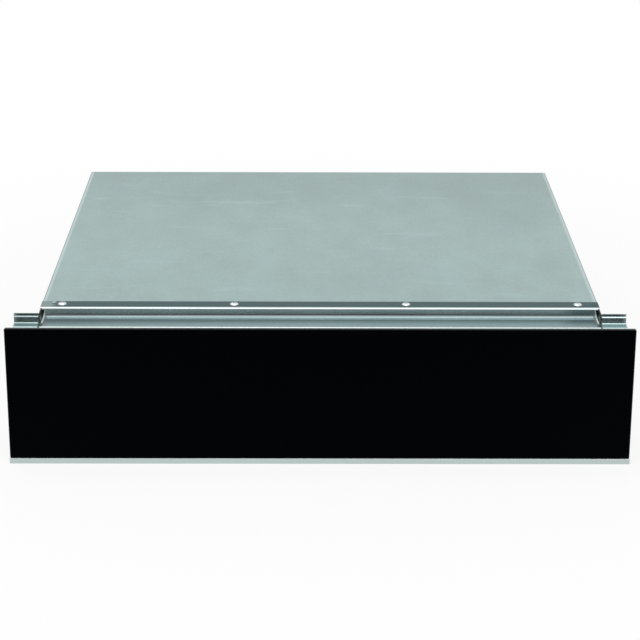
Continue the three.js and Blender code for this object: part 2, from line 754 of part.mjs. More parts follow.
// The door's inner shell: a pan that opens towards the glass, with a lip that the glass is bonded to and
// slots in its top wall that let warm air out of the hollow.
function doorShell() {
  const s = shellSheet;
  const hollow = block(-shellHalf + s, shellHalf - s, shellFront + s, doorThickness - s,
    shellBottom + s, shellTop - s);
  const mouth = block(-shellHalf + shellLip, shellHalf - shellLip, shellFront - 1, shellFront + s + 1,
    shellBottom + shellLip, shellTop - shellLip);
  const holes = doorScrewPlaces().map(([x, z]) =>
    rodY(x, z, screwShankRadius + screwHoleClearance, doorThickness - s - 1, doorThickness + 1));
  const middleY = (shellFront + doorThickness) / 2;
  const vents = spread(shellVentCount, shellVentPitch, 0).map((x) =>
    block(x - shellVentLength / 2, x + shellVentLength / 2, middleY - shellVentWidth / 2,
      middleY + shellVentWidth / 2, shellTop - s - 1, shellTop + 1));
  const body = block(-shellHalf, shellHalf, shellFront, doorThickness, shellBottom, shellTop);
  return cut(body, hollow, mouth, ...holes, ...vents);
}

function doorSeal() {
  const w = sealWidth;
  const x = fillHalf - sealSideMargin;
  const outer = roundedRectangle(-x, x, sealBottom, sealTop, w);
  const inner = roundedRectangle(-x + w, x - w, sealBottom + w, sealTop - w, w / 2);
  return alongY(outer, sealFront, sealFront + sealThickness, [inner]);
}

// The drawer box: a drawn tray with a hemmed rim and banks of air slots in its back wall.
function drawerTub() {
  const r = tubCornerRadius;
  const t = tubSheet;
  const body = alongZ(roundedRectangle(-tubHalf, tubHalf, tubFront, tubBack, r), tubBottom, tubTop);
  const hem = alongZ(roundedRectangle(-tubHalf - tubHemWidth, tubHalf + tubHemWidth, tubFront,
    tubBack + tubHemWidth, r + tubHemWidth), tubTop - tubHemHeight, tubTop);
  const hollow = alongZ(roundedRectangle(-tubHalf + t, tubHalf - t, tubFront + t, tubBack - t, r - t),
    tubFloorTop, tubTop + 1);
  const slots = [-tubSlotBankX, tubSlotBankX].flatMap((middle) =>
    spread(tubSlotCount, tubSlotPitch, middle).map((x) =>
      block(x - tubSlotWidth / 2, x + tubSlotWidth / 2, tubBack - t - 1, tubBack + 1,
        tubSlotZ - tubSlotHeight / 2, tubSlotZ + tubSlotHeight / 2)));
  const holes = doorScrewPlaces().map(([x, z]) =>
    rodY(x, z, screwShankRadius + screwHoleClearance, tubFront - 1, tubFront + t + 1));
  return cut(join(body, hem), hollow, ...slots, ...holes);
}

function antiSlipMat() {
  const inset = tubSheet + matMargin;
  const outline = roundedRectangle(-tubHalf + inset, tubHalf - inset, tubFront + inset, tubBack - inset,
    tubCornerRadius - inset / 2);
  return alongZ(outline, tubFloorTop + seatGap, tubFloorTop + seatGap + matThickness);
}

// A bracket that carries the drawer box on the drawer member of a runner.
function runnerBracket(side) {
  const tubSide = tubHalf + seatGap;
  const line = [[bracketOuter, innerBottom + seatGap], [bracketOuter, bracketTop], [tubSide, bracketTop],
    [tubSide, bracketTop - bracketTubFlange]];
  const outline = sheetOutline(line, bracketSheet);
  const y0 = runnerFront + bracketEndGap;
  return alongY(mirrored(outline, side), y0, runnerFront + runnerLength - bracketEndGap);
}

// ---- Controls ----
const controlFront = frameFace + postSheet + seatGap;
const plateFront = frameFace + controlRecess;
const plateBack = plateFront + controlPlate;
const rockerAxisY = plateFront + controlPlate + 1;

function controlPanel() {
  const w = controlWidth / 2;
  const h = controlHeight / 2;
  const t = controlWall;
  const walls = block(controlX - w - t, controlX + w + t, controlFront, controlFront + controlDepth,
    controlZ - h - t, controlZ + h + t);
  const front = block(controlX - w, controlX + w, controlFront - 1, plateFront, controlZ - h, controlZ + h);
  const rear = block(controlX - w, controlX + w, plateBack, controlFront + controlDepth + 1,
    controlZ - h, controlZ + h);
  const rockerHole = block(rockerX - (rockerWidth + rockerClearance) / 2,
    rockerX + (rockerWidth + rockerClearance) / 2, plateFront - 1, plateBack + 1,
    rockerZ - rockerHeight / 2 - rockerClearance, rockerZ + rockerHeight / 2 + rockerClearance);
  const stemHole = rodY(controlX, knobZ, stemRadius + stemClearance, plateFront - 1, plateBack + 1);
  const lampHole = rodY(lampX, rockerZ, lampRadius + stemClearance, plateFront - 1, plateBack + 1);
  return cut(walls, front, rear, rockerHole, stemHole, lampHole);
}

// The knob, turned from y = 0 at its back to the front, with grips round its rim and a long stem.
function thermostatKnob() {
  const grip = knobLength * 0.8;
  const body = rodY(0, 0, knobRadius, -knobLength, 0, roundSegments * 2);
  const cuts = circle(0, 0, knobRadius + knobGripRadius * 0.35, knobGrips).map(([x, z]) =>
    rodY(x, z, knobGripRadius, -knobLength - 1, -knobLength + grip, 8));
  const pointer = block(-0.7, 0.7, -knobLength - 0.5, -knobLength + 1, knobRadius * 0.25, knobRadius * 0.85);
  return join(cut(body, ...cuts), rodY(0, 0, stemRadius, -1, stemLength), pointer);
}

function thermostatBody() {
  const y0 = plateBack + seatGap;
  const bore = rodY(controlX, knobZ, stemRadius + stemClearance, y0 - 1,
    plateFront - knobPlateGap + stemLength + 1);
  return cut(rodY(controlX, knobZ, thermostatRadius, y0, y0 + thermostatLength), bore);
}

// The rocker about its pivot, tipped to its off side.
function powerRocker() {
  const h = rockerHeight / 2;
  const outline = [[1.5, -h * 0.6], [1.5, h * 0.6], [-rockerDepth * 0.6, h], [-rockerDepth * 0.85, h],
    [-rockerDepth * 0.62, 0], [-rockerDepth * 0.85, -h], [-rockerDepth * 0.6, -h]].reverse();
  return alongX(outline, -rockerWidth / 2, rockerWidth / 2).rotateX(THREE.MathUtils.degToRad(rockerTilt));
}

// ---- Rear compartment ----
function airBaffle() {
  const line = [[-fillHalf, baffleFace + baffleReturn], [-fillHalf, baffleFace], [fillHalf, baffleFace],
    [fillHalf, baffleFace + baffleReturn]];
  const z0 = panelBottom + wallSheet + seatGap;
  const z1 = panelTop - wallSheet - seatGap;
  const plate = alongZ(sheetOutline(line, baffleSheet), z0, z1);
  const cutFrom = baffleFace - 1;
  const cutTo = baffleBack + 1;
  const rings = Array.from({ length: inletRingCount }, (_, i) => inletFirstRadius + i * inletRingPitch);
  const inlets = rings.flatMap((radius) =>
    [0, 90, 180, 270].map((from) => arcSlot(radius, from + 12, from + 78, cutFrom, cutTo)));
  const outlets = [-tubSlotBankX, tubSlotBankX].flatMap((middle) =>
    spread(tubSlotCount, tubSlotPitch, middle).map((x) =>
      block(x - tubSlotWidth / 2, x + tubSlotWidth / 2, cutFrom, cutTo,
        tubSlotZ - tubSlotHeight / 2, tubSlotZ + tubSlotHeight / 2)));
  const plungerHoles = [-ejectorX, ejectorX].map((x) =>
    rodY(x, ejectorZ, ejectorRadius + ejectorClearance * 2, cutFrom, cutTo));
  const notch = block(leadX - leadRadius * 2, fillHalf + 1, cutFrom, baffleFace + baffleReturn + 1,
    leadZ - leadRadius * 2, leadZ + leadRadius * 2);
  return cut(plate, ...inlets, ...outlets, ...plungerHoles, notch);
}

// A slot that follows an arc about the fan's axis.
function arcSlot(radius, fromDegrees, toDegrees, y0, y1) {
  const half = inletSlotWidth / 2;
  const steps = 5;
  const side = (r, backwards) =>
    Array.from({ length: steps + 1 }, (_, k) => {
      const share = backwards ? 1 - k / steps : k / steps;
      const angle = THREE.MathUtils.degToRad(fromDegrees + (toDegrees - fromDegrees) * share);
      return [r * Math.cos(angle), fanZ + r * Math.sin(angle)];
    });
  return alongY([...side(radius - half, false), ...side(radius + half, true)], y0, y1);
}

// The fan wheel about its axis: y = 0 is the inlet side. The shaft runs back into the motor.
function fanWheel() {
  const disc = rodY(0, 0, fanRadius, fanWidth - fanDiscSheet, fanWidth, roundSegments * 2);
  const hub = rodY(0, 0, fanHubRadius, 0, fanWidth);
  const shaft = rodY(0, 0, fanShaftRadius, fanWidth - 1, fanWidth + fanShaftLength);
  const ring = alongY(circle(0, 0, fanRadius, roundSegments * 2), 0, fanDiscSheet,
    [circle(0, 0, fanRadius - 6, roundSegments * 2)]);
  const blades = Array.from({ length: fanBladeCount }, (_, i) =>
    block(fanBladeInner, fanRadius - 1, 0.5, fanWidth - 0.5, -fanBladeSheet / 2, fanBladeSheet / 2)
      .translate(0, 0, -fanBladeInner * 0.35)
      .rotateY((2 * Math.PI * i) / fanBladeCount));
  return join(disc, hub, shaft, ring, ...blades);
}

const fanFront = baffleBack + fanGap;
const motorFront = fanFront + fanWidth + motorGap;

// The motor, with its arms standing on the back panel and a bore that the fan's shaft turns in.
function fanMotor() {
  const motorBack = motorFront + motorLength;
  const can = rodY(0, fanZ, motorRadius, motorFront, motorBack, roundSegments * 2);
  const bore = rodY(0, fanZ, fanShaftRadius + stemClearance, motorFront - 1,
    fanFront + fanWidth + fanShaftLength + 1);
  const arms = Array.from({ length: motorArmCount }, (_, i) =>
    join(
      block(0, motorFootRadius, motorBack - motorArmSheet, motorBack, -motorArmWidth / 2, motorArmWidth / 2),
      block(motorFootRadius - motorArmSheet, motorFootRadius, motorBack - motorArmSheet,
        backInner - seatGap, -motorArmWidth / 2, motorArmWidth / 2),
    ).rotateY((2 * Math.PI * (i + 0.25)) / motorArmCount).translate(0, 0, fanZ));
  return cut(join(can, ...arms), bore);
}

// The heater: one turn of tube round the fan, whose two ends run back to the rear panel.
function ringHeater() {
  const y = baffleBack + heaterSetback;
  const end = backInner - seatGap;
  const at = (angle) => new THREE.Vector3(heaterRingRadius * Math.sin(angle), y,
    fanZ - heaterRingRadius * Math.cos(angle));
  const ringTurn = new THREE.CatmullRomCurve3([
    new THREE.Vector3(at(heaterGapAngle).x - heaterBend, end, at(heaterGapAngle).z),
    new THREE.Vector3(at(heaterGapAngle).x - heaterBend, end - heaterBend, at(heaterGapAngle).z),
    new THREE.Vector3(at(heaterGapAngle).x - heaterBend, y + heaterBend * 1.5, at(heaterGapAngle).z),
    ...Array.from({ length: 22 }, (_, k) =>
      at(heaterGapAngle + 0.12 + ((2 * Math.PI - 2 * (heaterGapAngle + 0.12)) * k) / 21)),
    new THREE.Vector3(at(-heaterGapAngle).x + heaterBend, y + heaterBend * 1.5, at(heaterGapAngle).z),
    new THREE.Vector3(at(-heaterGapAngle).x + heaterBend, end - heaterBend, at(heaterGapAngle).z),
    new THREE.Vector3(at(-heaterGapAngle).x + heaterBend, end, at(heaterGapAngle).z),
  ], false, "centripetal");
  const section = shapeOf(circle(0, 0, heaterTubeRadius, 8));
  return new THREE.ExtrudeGeometry(section, { steps: 60, bevelEnabled: false, extrudePath: ringTurn });
}

const ejectorTip = tubBack + pushTravel + seatGap;
const ejectorBoreEnd = baffleBack + seatGap + ejectorHousingLength - ejectorFloor;

function ejectorHousing(x) {
  const y0 = baffleBack + seatGap;
  return cut(
    rodY(x, ejectorZ, ejectorHousingRadius, y0, y0 + ejectorHousingLength),
    rodY(x, ejectorZ, ejectorRadius + ejectorClearance, y0 - 1, ejectorBoreEnd),
  );
}

function ejectorPlunger(x) {
  const y1 = ejectorBoreEnd - ejectorTravel - ejectorClearance;
  return rodY(x, ejectorZ, ejectorRadius, ejectorTip, y1);
}

function cableGrommet() {
  const neck = rodY(grommetX, grommetZ, grommetRadius - 2 - seatGap, backInner, backPlane + 1);
  const flange = rodY(grommetX, grommetZ, grommetRadius, backPlane + seatGap, backPlane + seatGap + 2);
  const nose = new THREE.CylinderGeometry(grommetRadius - 4, grommetRadius - 2, grommetNose, roundSegments)
    .translate(grommetX, backPlane + seatGap + 1 + grommetNose / 2, grommetZ);
  return join(neck, flange, nose);
}

// ---- Latch ----
const latchTop = panelBottom + latchHeight;
const followerPivotY = latchFront + followerPivotRadius * 2;
const camBottom = bottomRailTop + camBottomClearance;
const followerTop = camBottom - followerClearance - 1;

function latchHousing() {
  const outline = roundedRectangle(-latchWidth / 2, latchWidth / 2, latchFront, latchFront + latchLength,
    latchCornerRadius);
  const body = alongZ(outline, panelBottom, latchTop - seatGap);
  const stud = rodZ(0, followerPivotY, followerPivotRadius / 2, latchTop - 1, followerTop);
  return join(body, stud);
}

// The follower about its pivot: an arm that reaches back to a pin under the heart cam.
function latchFollower() {
  const ring = alongZ(circle(0, 0, followerPivotRadius), latchTop, latchTop + followerSheet,
    [circle(0, 0, followerPivotRadius / 2 + followerClearance)]);
  const arm = block(-followerWidth / 2, followerWidth / 2, followerPivotRadius - 1, followerLength,
    latchTop, latchTop + followerSheet);
  const pin = rodZ(0, followerLength - followerPinRadius, followerPinRadius, latchTop,
    camBottom - followerClearance, 12);
  return join(ring, arm, pin);
}

// The cam under the drawer's floor, with a groove round a heart-shaped island.
function heartCam() {
  const middleY = followerPivotY + followerLength - followerPinRadius;
  const y0 = middleY - camLength * 0.6;
  const body = block(-camWidth / 2, camWidth / 2, y0, y0 + camLength, camBottom, tubBottom - seatGap);
  const r = camIslandRadius;
  const outer = circle(0, middleY - r, r + camGroove, 24);
  const entry = block(-camGroove / 2, camGroove / 2, middleY - r, y0 + camLength + 1, camBottom - 1,
    camBottom + camGrooveDepth);
  const ring = alongZ(outer, camBottom - 1, camBottom + camGrooveDepth, [
    [[0, middleY - r * 0.5], [r * 0.6, middleY], [r, middleY - r * 0.8], [0, middleY - r * 2],
      [-r, middleY - r * 0.8], [-r * 0.6, middleY]].reverse(),
  ]);
  const island = [[0, middleY - r * 0.5], [r * 0.6, middleY], [r, middleY - r * 0.8], [0, middleY - r * 2],
    [-r, middleY - r * 0.8], [-r * 0.6, middleY]];
  return join(cut(body, ring, entry), alongZ(island, camBottom, camBottom + camGrooveDepth + 1));
}

// ---- Lead from the controls to the terminal box, held to the right side panel by two clips ----
const leadX = fillHalf - leadWallGap - leadRadius;
const leadZ = knobZ - 2;

function controlLead() {
  const start = plateBack + seatGap + thermostatLength + seatGap;
  const boxSide = terminalX + terminalWidth / 2 + seatGap;
  const boxY = backInner - seatGap - terminalDepth / 2;
  const route = [
    [controlX, start, knobZ], [controlX, start + 10, knobZ], [controlX + 4, start + 22, knobZ],
    [leadX - 3, start + 38, leadZ], [leadX, start + 52, leadZ], [leadX, clipFrontY, leadZ],
    [leadX, (clipFrontY + clipRearY) / 2, leadZ], [leadX, clipRearY, leadZ],
    [leadX, baffleFace - 40, leadZ], [leadX, baffleBack + 4, leadZ], [leadX - 1, boxY - 16, leadZ - 8],
    [leadX - 1.5, boxY - 6, leadZ - 24], [leadX - 4, boxY - 1, terminalZ + 10],
    [boxSide + 12, boxY, terminalZ + 1], [boxSide + 6, boxY, terminalZ], [boxSide, boxY, terminalZ],
  ].map(([x, y, z]) => new THREE.Vector3(x, y, z));
  const path = new THREE.CatmullRomCurve3(route, false, "centripetal");
  const section = shapeOf(circle(0, 0, leadRadius, 8));
  return new THREE.ExtrudeGeometry(section, { steps: 56, bevelEnabled: false, extrudePath: path });
}

function leadClip(y) {
  const bore = leadRadius + seatGap;
  const band = alongY(circle(leadX, leadZ, bore + clipWall), y - clipLength / 2, y + clipLength / 2);
  const foot = block(leadX, fillHalf, y - clipLength / 2, y + clipLength / 2,
    leadZ - bore - clipWall, leadZ + bore + clipWall);
  const hole = rodY(leadX, leadZ, bore, y - clipLength, y + clipLength);
  return cut(join(band, foot), hole);
}

// ---- Assembly ----
function addCasing(assembly) {
  const casing = addGroup(assembly);
  addPart(casing, "base_pan", basePan(), "zinc");
  addPart(casing, "left_side_panel", sidePanel(-1), "zinc");
  addPart(casing, "right_side_panel", sidePanel(1), "zinc");
  addPart(casing, "rear_panel", rearPanel(), "zinc");
  addPart(casing, "top_cover", topCover(), "zinc");
  addPart(casing, "ceiling_liner", ceilingLiner(), "zinc");
  addPart(casing, "front_top_rail", frontTopRail(), "brightZinc");
  addPart(casing, "front_bottom_rail", frontBottomRail(), "brightZinc");
  addPart(casing, "left_mounting_wing", mountingWing(-1), "brightZinc");
  addPart(casing, "right_mounting_wing", mountingWing(1), "brightZinc");
  addPart(casing, "left_front_post", frontPost(-1), "brightZinc");
  addPart(casing, "right_front_post", frontPost(1), "brightZinc");
  spread(screwCount, screwPitch).forEach((x, i) =>
    addPart(casing, `rail_screw_${i + 1}`, panScrew(), "steel", [x, screwY, casingHeight + seatGap]));
}

function addRunners(assembly) {
  for (const [side, name] of [[-1, "left"], [1, "right"]]) {
    const runner = addGroup(assembly);
    addPart(runner, `${name}_runner_casing_member`, casingMember(side), "steel");
    addPart(runner, `${name}_runner_outer_ball_cage`, outerCage(side), "steel");
    addPart(runner, `${name}_runner_middle_member`, middleMember(side), "steel");
    addPart(runner, `${name}_runner_inner_ball_cage`, innerCage(side), "steel");
    addPart(runner, `${name}_runner_drawer_member`, drawerMember(side), "steel");
  }
}

function addDrawer(assembly) {
  const drawer = addGroup(assembly);
  addPart(drawer, "glass_front", glassFront(), "glass");
  addPart(drawer, "front_trim", frontTrim(), "steel");
  addPart(drawer, "door_shell", doorShell(), "steel");
  addPart(drawer, "door_seal", doorSeal(), "rubber");
  addPart(drawer, "drawer_tub", drawerTub(), "steel");
  addPart(drawer, "anti_slip_mat", antiSlipMat(), "mat");
  addPart(drawer, "left_runner_bracket", runnerBracket(-1), "steel");
  addPart(drawer, "right_runner_bracket", runnerBracket(1), "steel");
  addPart(drawer, "heart_cam", heartCam(), "plastic");
  doorScrewPlaces().forEach(([x, z], i) =>
    addPart(drawer, `door_screw_${i + 1}`, panScrew().rotateX(-Math.PI / 2), "steel",
      [x, tubFront + tubSheet + seatGap, z]));
}

function addControls(assembly) {
  const controls = addGroup(assembly);
  addPart(controls, "control_panel", controlPanel(), "plastic");
  addPart(controls, "thermostat_body", thermostatBody(), "palePlastic");
  addPart(controls, "thermostat_knob", thermostatKnob(), "palePlastic",
    [controlX, plateFront - knobPlateGap, knobZ]);
  addPart(controls, "power_rocker", powerRocker(), "plastic", [rockerX, rockerAxisY, rockerZ]);
  addPart(controls, "power_lamp",
    rodY(lampX, rockerZ, lampRadius, plateFront - lampStand, plateFront - lampStand + lampLength), "lamp");
  addPart(controls, "control_lead", controlLead(), "rubber");
  addPart(controls, "lead_clip_front", leadClip(clipFrontY), "palePlastic");
  addPart(controls, "lead_clip_rear", leadClip(clipRearY), "palePlastic");
}

function addRearCompartment(assembly) {
  const rear = addGroup(assembly);
  addPart(rear, "air_baffle", airBaffle(), "zinc");
  addPart(rear, "fan_wheel", fanWheel(), "motor", [0, fanFront, fanZ]);
  addPart(rear, "fan_motor", fanMotor(), "motor");
  addPart(rear, "ring_heater", ringHeater(), "element");
  addPart(rear, "limit_thermostat", rodY(limiterX, limiterZ, limiterRadius, baffleBack + seatGap,
    baffleBack + seatGap + limiterLength), "palePlastic");
  for (const [side, name] of [[-1, "left"], [1, "right"]]) {
    addPart(rear, `${name}_ejector_housing`, ejectorHousing(side * ejectorX), "plastic");
    addPart(rear, `${name}_ejector_plunger`, ejectorPlunger(side * ejectorX), "palePlastic");
  }
  addPart(rear, "terminal_box", block(terminalX - terminalWidth / 2, terminalX + terminalWidth / 2,
    backInner - seatGap - terminalDepth, backInner - seatGap, terminalZ - terminalHeight / 2,
    terminalZ + terminalHeight / 2), "palePlastic");
  addPart(rear, "cable_grommet", cableGrommet(), "rubber");
}

function addLatch(assembly) {
  const latch = addGroup(assembly);
  addPart(latch, "latch_housing", latchHousing(), "plastic");
  addPart(latch, "latch_follower", latchFollower(), "steel", [0, followerPivotY, 0]);
}

const warmingDrawer = new THREE.Group();
const assembly = addGroup(warmingDrawer, [0, -overallDepth / 2, 0]);
addCasing(assembly);
addRunners(assembly);
addDrawer(assembly);
addControls(assembly);
addRearCompartment(assembly);
addLatch(assembly);

export default warmingDrawer;
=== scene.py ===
"""A built-in warming drawer: finishes, fine pieces, floor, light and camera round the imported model."""

import json
import math

import bmesh
import bpy
from mathutils import Matrix, Vector

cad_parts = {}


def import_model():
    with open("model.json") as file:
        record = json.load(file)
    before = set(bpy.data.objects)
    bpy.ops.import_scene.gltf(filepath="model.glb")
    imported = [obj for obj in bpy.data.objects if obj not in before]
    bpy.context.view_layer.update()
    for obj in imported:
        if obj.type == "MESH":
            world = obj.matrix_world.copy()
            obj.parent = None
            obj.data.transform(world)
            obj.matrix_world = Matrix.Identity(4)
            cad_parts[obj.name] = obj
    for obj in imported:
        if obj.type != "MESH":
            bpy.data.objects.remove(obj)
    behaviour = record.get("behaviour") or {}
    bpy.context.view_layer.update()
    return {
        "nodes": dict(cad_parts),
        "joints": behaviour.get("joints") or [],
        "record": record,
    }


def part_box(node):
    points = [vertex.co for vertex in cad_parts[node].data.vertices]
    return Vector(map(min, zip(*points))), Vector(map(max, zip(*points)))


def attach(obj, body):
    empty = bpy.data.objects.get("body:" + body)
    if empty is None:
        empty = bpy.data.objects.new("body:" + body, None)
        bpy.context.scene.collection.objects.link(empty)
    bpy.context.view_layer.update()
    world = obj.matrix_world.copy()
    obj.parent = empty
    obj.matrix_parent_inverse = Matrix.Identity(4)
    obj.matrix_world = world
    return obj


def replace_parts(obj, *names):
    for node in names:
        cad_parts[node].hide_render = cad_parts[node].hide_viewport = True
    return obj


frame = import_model()
nodes = frame["nodes"]

MM = 0.001
UP = (0, 0, 1)
REARWARD = (0, 1, 0)
FORWARD = (0, -1, 0)

# ---- Camera, fitted to the photograph ----
CAMERA_PLACE = (-0.0104, -2.0838, 0.7909)  # metres
CAMERA_PITCH = 19.566  # degrees below the horizon
CAMERA_YAW = -0.315
CAMERA_ROLL = 0.206
CAMERA_LENS = 115.05  # mm
CAMERA_SENSOR = 36  # mm
CAMERA_CLIP = (0.05, 50)  # metres

# ---- Floor and light, in metres; a radiance of 1 is white ----
FLOOR_HALF = 9.0
FLOOR_GLOW = 0.84  # share of plain white in the floor beside the object
FLOOR_FADE = (0.35, 1.0)  # distances between which that share grows to 1
WORLD_RADIANCE = 0.52
SOFTBOXES = {  # place, target, width, depth, radiance
    "overhead": ((-0.2, -0.45, 2.2), (0, -0.2, 0), 2.8, 1.4, 2.2),
    "front": ((0.4, -3.2, 1.6), (0, -0.2, 0.1), 1.8, 1.0, 1.2),
}

# ---- Sizes of the fine pieces, in millimetres ----
RAIL_SCREW_COUNT = 4
RAIL_HEAD_HEIGHT = 2.2
RAIL_HEAD_RECESS = 3.8
RAIL_HEAD_RECESS_DEPTH = 1.0
SMALL_HEAD_RADIUS = 3.1
SMALL_HEAD_HEIGHT = 1.5
SMALL_HEAD_RECESS = 3.4
SMALL_HEAD_RECESS_DEPTH = 0.9
RECESS_WIDTH = 0.9
HEAD_SIDE = 0.15  # share of a pan head's height below its dome
HEAD_CROWN = 0.05  # flat share of its radius
HEAD_STEPS = 7
HEAD_SEGMENTS = 40
COVER_SCREW_SETBACKS = (-150, 20, 190)  # places along the cover's sides
COVER_SCREW_DROP = 6.5  # below the top of the cover
BACK_SCREW_INSET = 6  # inside the side panels
BACK_SCREW_RISE = 8  # from the upper and lower edge of the back

RIVET_RADIUS = 3.4
RIVET_HEIGHT = 0.7
RIVET_SETBACKS = (-175, -60, 55, 170)  # places along the runner
CLINCH_RADIUS = 2.6
CLINCH_HEIGHT = 0.6
CLINCH_PITCH = 62
CLINCH_COUNT = 7
CLINCH_MIDDLE = 30  # of the row, behind the middle of the casing
CLINCH_Z = 8
DIMPLE_PLACE = (-258.3, -206.2)  # on the rail's flange, beside the first screw
DIMPLE_RADIUS = 2.2
DIMPLE_HEIGHT = 0.7
BUTTON_SIDE = 0.45  # share of a rivet's height below its rounding
BUTTON_CROWN = 0.25  # share of its radius where the top's last ring lies
BUTTON_SINK = 0.1
BUTTON_SEGMENTS = 28

SEAM_BITE = 0.02  # of the bead into the wing
SEAM_RUNS = (  # reach over the panel, y from and to, z from and to
    (0.02, -238.3, -237.6, 130.8, 138.0),
    (0.95, -249.4, -238.3, 130.4, 131.3),
)

GLASS_GROUND = 0.8
GLASS_UPPER_CORNER = 1.9
GLASS_LOWER_CORNER = 1.2
GLASS_CORNER_STEPS = 6

LOUVRE_BANK_X = 150.4
LOUVRE_BANK_Z = 74
LOUVRE_COUNT = 7
LOUVRE_PITCH = 9
LOUVRE_LENGTH = 62
LOUVRE_HEIGHT = 5.6
LOUVRE_DEPTH = 3.2
LOUVRE_SHEET = 0.7
LOUVRE_THINNEST = 0.02  # where a hood runs out into the back
LOUVRE_TOP = 3.4  # top of a hood above the middle of its slot
LOUVRE_SQUARENESS = 7  # a higher power makes its ends squarer
LOUVRE_COLUMNS = 24
LOUVRE_ROWS = 8

MAT_SHEET = 1.3
MAT_CORNER = 11
MAT_CORNER_STEPS = 8
MAT_DOT_PITCH = 11
MAT_DOT_RADIUS = 2.6
MAT_DOT_PROFILE = ((1, 0.3), (0.9, 0.75), (0.6, 1), (0.1, 1))  # shares of its radius and height
MAT_DOT_SINK = 0.2
MAT_DOT_SEGMENTS = 10
MAT_DOT_MARGIN = 8

KNOB_RADIUS = 8
KNOB_LENGTH = 8
KNOB_PROFILE = (  # share of the radius, distance from the plate's side of the knob
    (0.97, 0), (1, 0.3), (1, 0.7), (0.99, 4), (0.97, 6.8), (0.94, 7.5), (0.86, 7.9), (0.78, 7.9),
    (0.72, 7.55), (0.1, 7.55),
)
KNOB_FLUTES = 20
KNOB_FLUTE_DEPTH = 0.045  # share of the radius
KNOB_FLUTED = (0.6, 7.5)  # distances between which the flutes run
KNOB_FLUTE_SEGMENTS = 6
STEM_PROFILE = ((2.4, -14), (3, -13.4), (3, 0.2), (0.6, 0.2))  # radius, distance
STEM_SEGMENTS = 32
POINTER_HALF = 0.55
POINTER_REACH = (1.6, 6.72)  # from the axis
POINTER_DEPTH = (7.5, 7.98)  # distance, as in the knob's profile
TICK_COUNT = 10
TICK_SPAN = 270  # degrees
TICK_REACH = (9.3, 11.2)  # from the axis
TICK_HALF = 0.22  # half width of the first tick
TICK_GROWTH = 0.06  # of the half width, from tick to tick
PRINT_THICKNESS = 0.06
PRINT_SINK = 0.02
LAMP_STAND = 1  # lamp in front of the plate
ROCKER_TILT = 6  # degrees, as the rocker lies in its off place
ROCKER_DIP = 4.34  # middle of its face in front of the pivot
ROCKER_HORN = 5.95  # ends of its face in front of the pivot
ROCKER_HALF = 6  # half of its height
MARK_RISE = 3.12  # middle of a mark above or below the pivot
BAR_HALF = (0.3, 1.3)
RING_RADII = (1.0, 1.5)
RING_SEGMENTS = 32

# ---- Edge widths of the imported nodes, in millimetres ----
FINE_EDGE = 0.12  # on thin or small pieces
SHEET_EDGE = 0.25
NODE_EDGES = {"glass_front": 0.25, "front_trim": 0.4, "terminal_box": 1.2, "latch_housing": 0.6}
FINE_SLOTS = {"screw_steel", "runner_steel", "fan_metal", "heater_sheath", "lead_rubber", "lamp_lens"}
WELD_DISTANCE = 0.004
FLAT_ANGLE = 0.5  # degrees, below which faces become one
SHARP_ANGLE = 32  # degrees, above which an edge is rounded

# ---- Zones of the sheets ----
# A zone's mask is 0 at its first place and 1 at its second, in millimetres. An X place is a distance
# from the middle plane to either side, except where it is signed.
COVER_TOP_Z = (138.6, 139.0)  # the flat top, without its folded sides
COVER_FOLD_HIGHLIGHT_X = (265.5, 268.0)  # painted highlight beside its bends
# painted shade along the rims of the folded sides
COVER_RIM_SHADE_X = (269.1, 269.7)
COVER_DEPTH_Y = (30, 270)  # where it darkens towards the rear

EAR_Y = (-220.8, -221.2)  # ears of the side panels, beside the rail
EAR_Z = (125.0, 125.5)
EAR_INNER_X = (269.38, 269.30)  # the face towards the rail
EAR_EDGE_Y = (-238.2, -238.4)
EAR_EDGE_Z = (130.6, 131.0)
EAR_SHADE = (131.8, 133.2)  # painted shade in the corner under the flange: heights at EAR_SHADE_Y
EAR_SHADE_Y = -221.3
EAR_SHADE_TILT = 0.273  # by which those heights grow, for each millimetre ahead of it

RAIL_X = (270.4, 270.2)  # the rail, not the wings beside it
RAIL_Z = (129.0, 129.5)
BEHIND_BEND_Y = (-218.7, -217.2)
UPPER_BEND_Z = (139.5, 140.2)
ABOVE_COVE_Z = (134.0, 135.2)
STEP_Y = (-223.5, -222.0)
STEP_DIM_X = (227.0, 250.0)  # signed: painted shade darkens the step towards its right end
FLANGE_Z = (140.0, 140.6)
FLANGE_DARK_X = (-261.0, -253.0)  # signed: the flange's painted dark reflection gives way to a lighter painted reflection at its left end
LEDGE_Y = (-246.0, -229.0)
LEDGE_LEAST = 0.35  # of the ledge's painted reflection, at its front
COVE_Y = (-228.4, -226.2)
FOLD_Y = (-223.6, -222.2)
FRONT_BEND_Y = (-247.8, -248.8)
END_HIGHLIGHT_X = (266.8, 267.1)  # painted highlight lines at the slanted ends of the step, at the height given below
END_HIGHLIGHT_Z = 131.5
END_HIGHLIGHT_TILT = 0.286  # by which they lie further in, for each millimetre above it
END_HIGHLIGHT_COVE_SHIFT = 0.8  # by which they are wider in the cove and on the ledge
END_HIGHLIGHT_STOP_X = (268.6, 268.4)
END_HIGHLIGHT_Y = (-238.5, -237.5)
BLUNT_X = (262.5, 265.5)  # duller ends of the ledge
BLUNT_Y = (-244.0, -239.0)
BLUNT_MATT = 0.9  # share of the mattness of the painted end highlights

GLASS_EDGE_Z = (-1.1, -0.3)  # from the top of the glass
GLASS_EDGE_X = (-0.9, -0.3)  # from either side


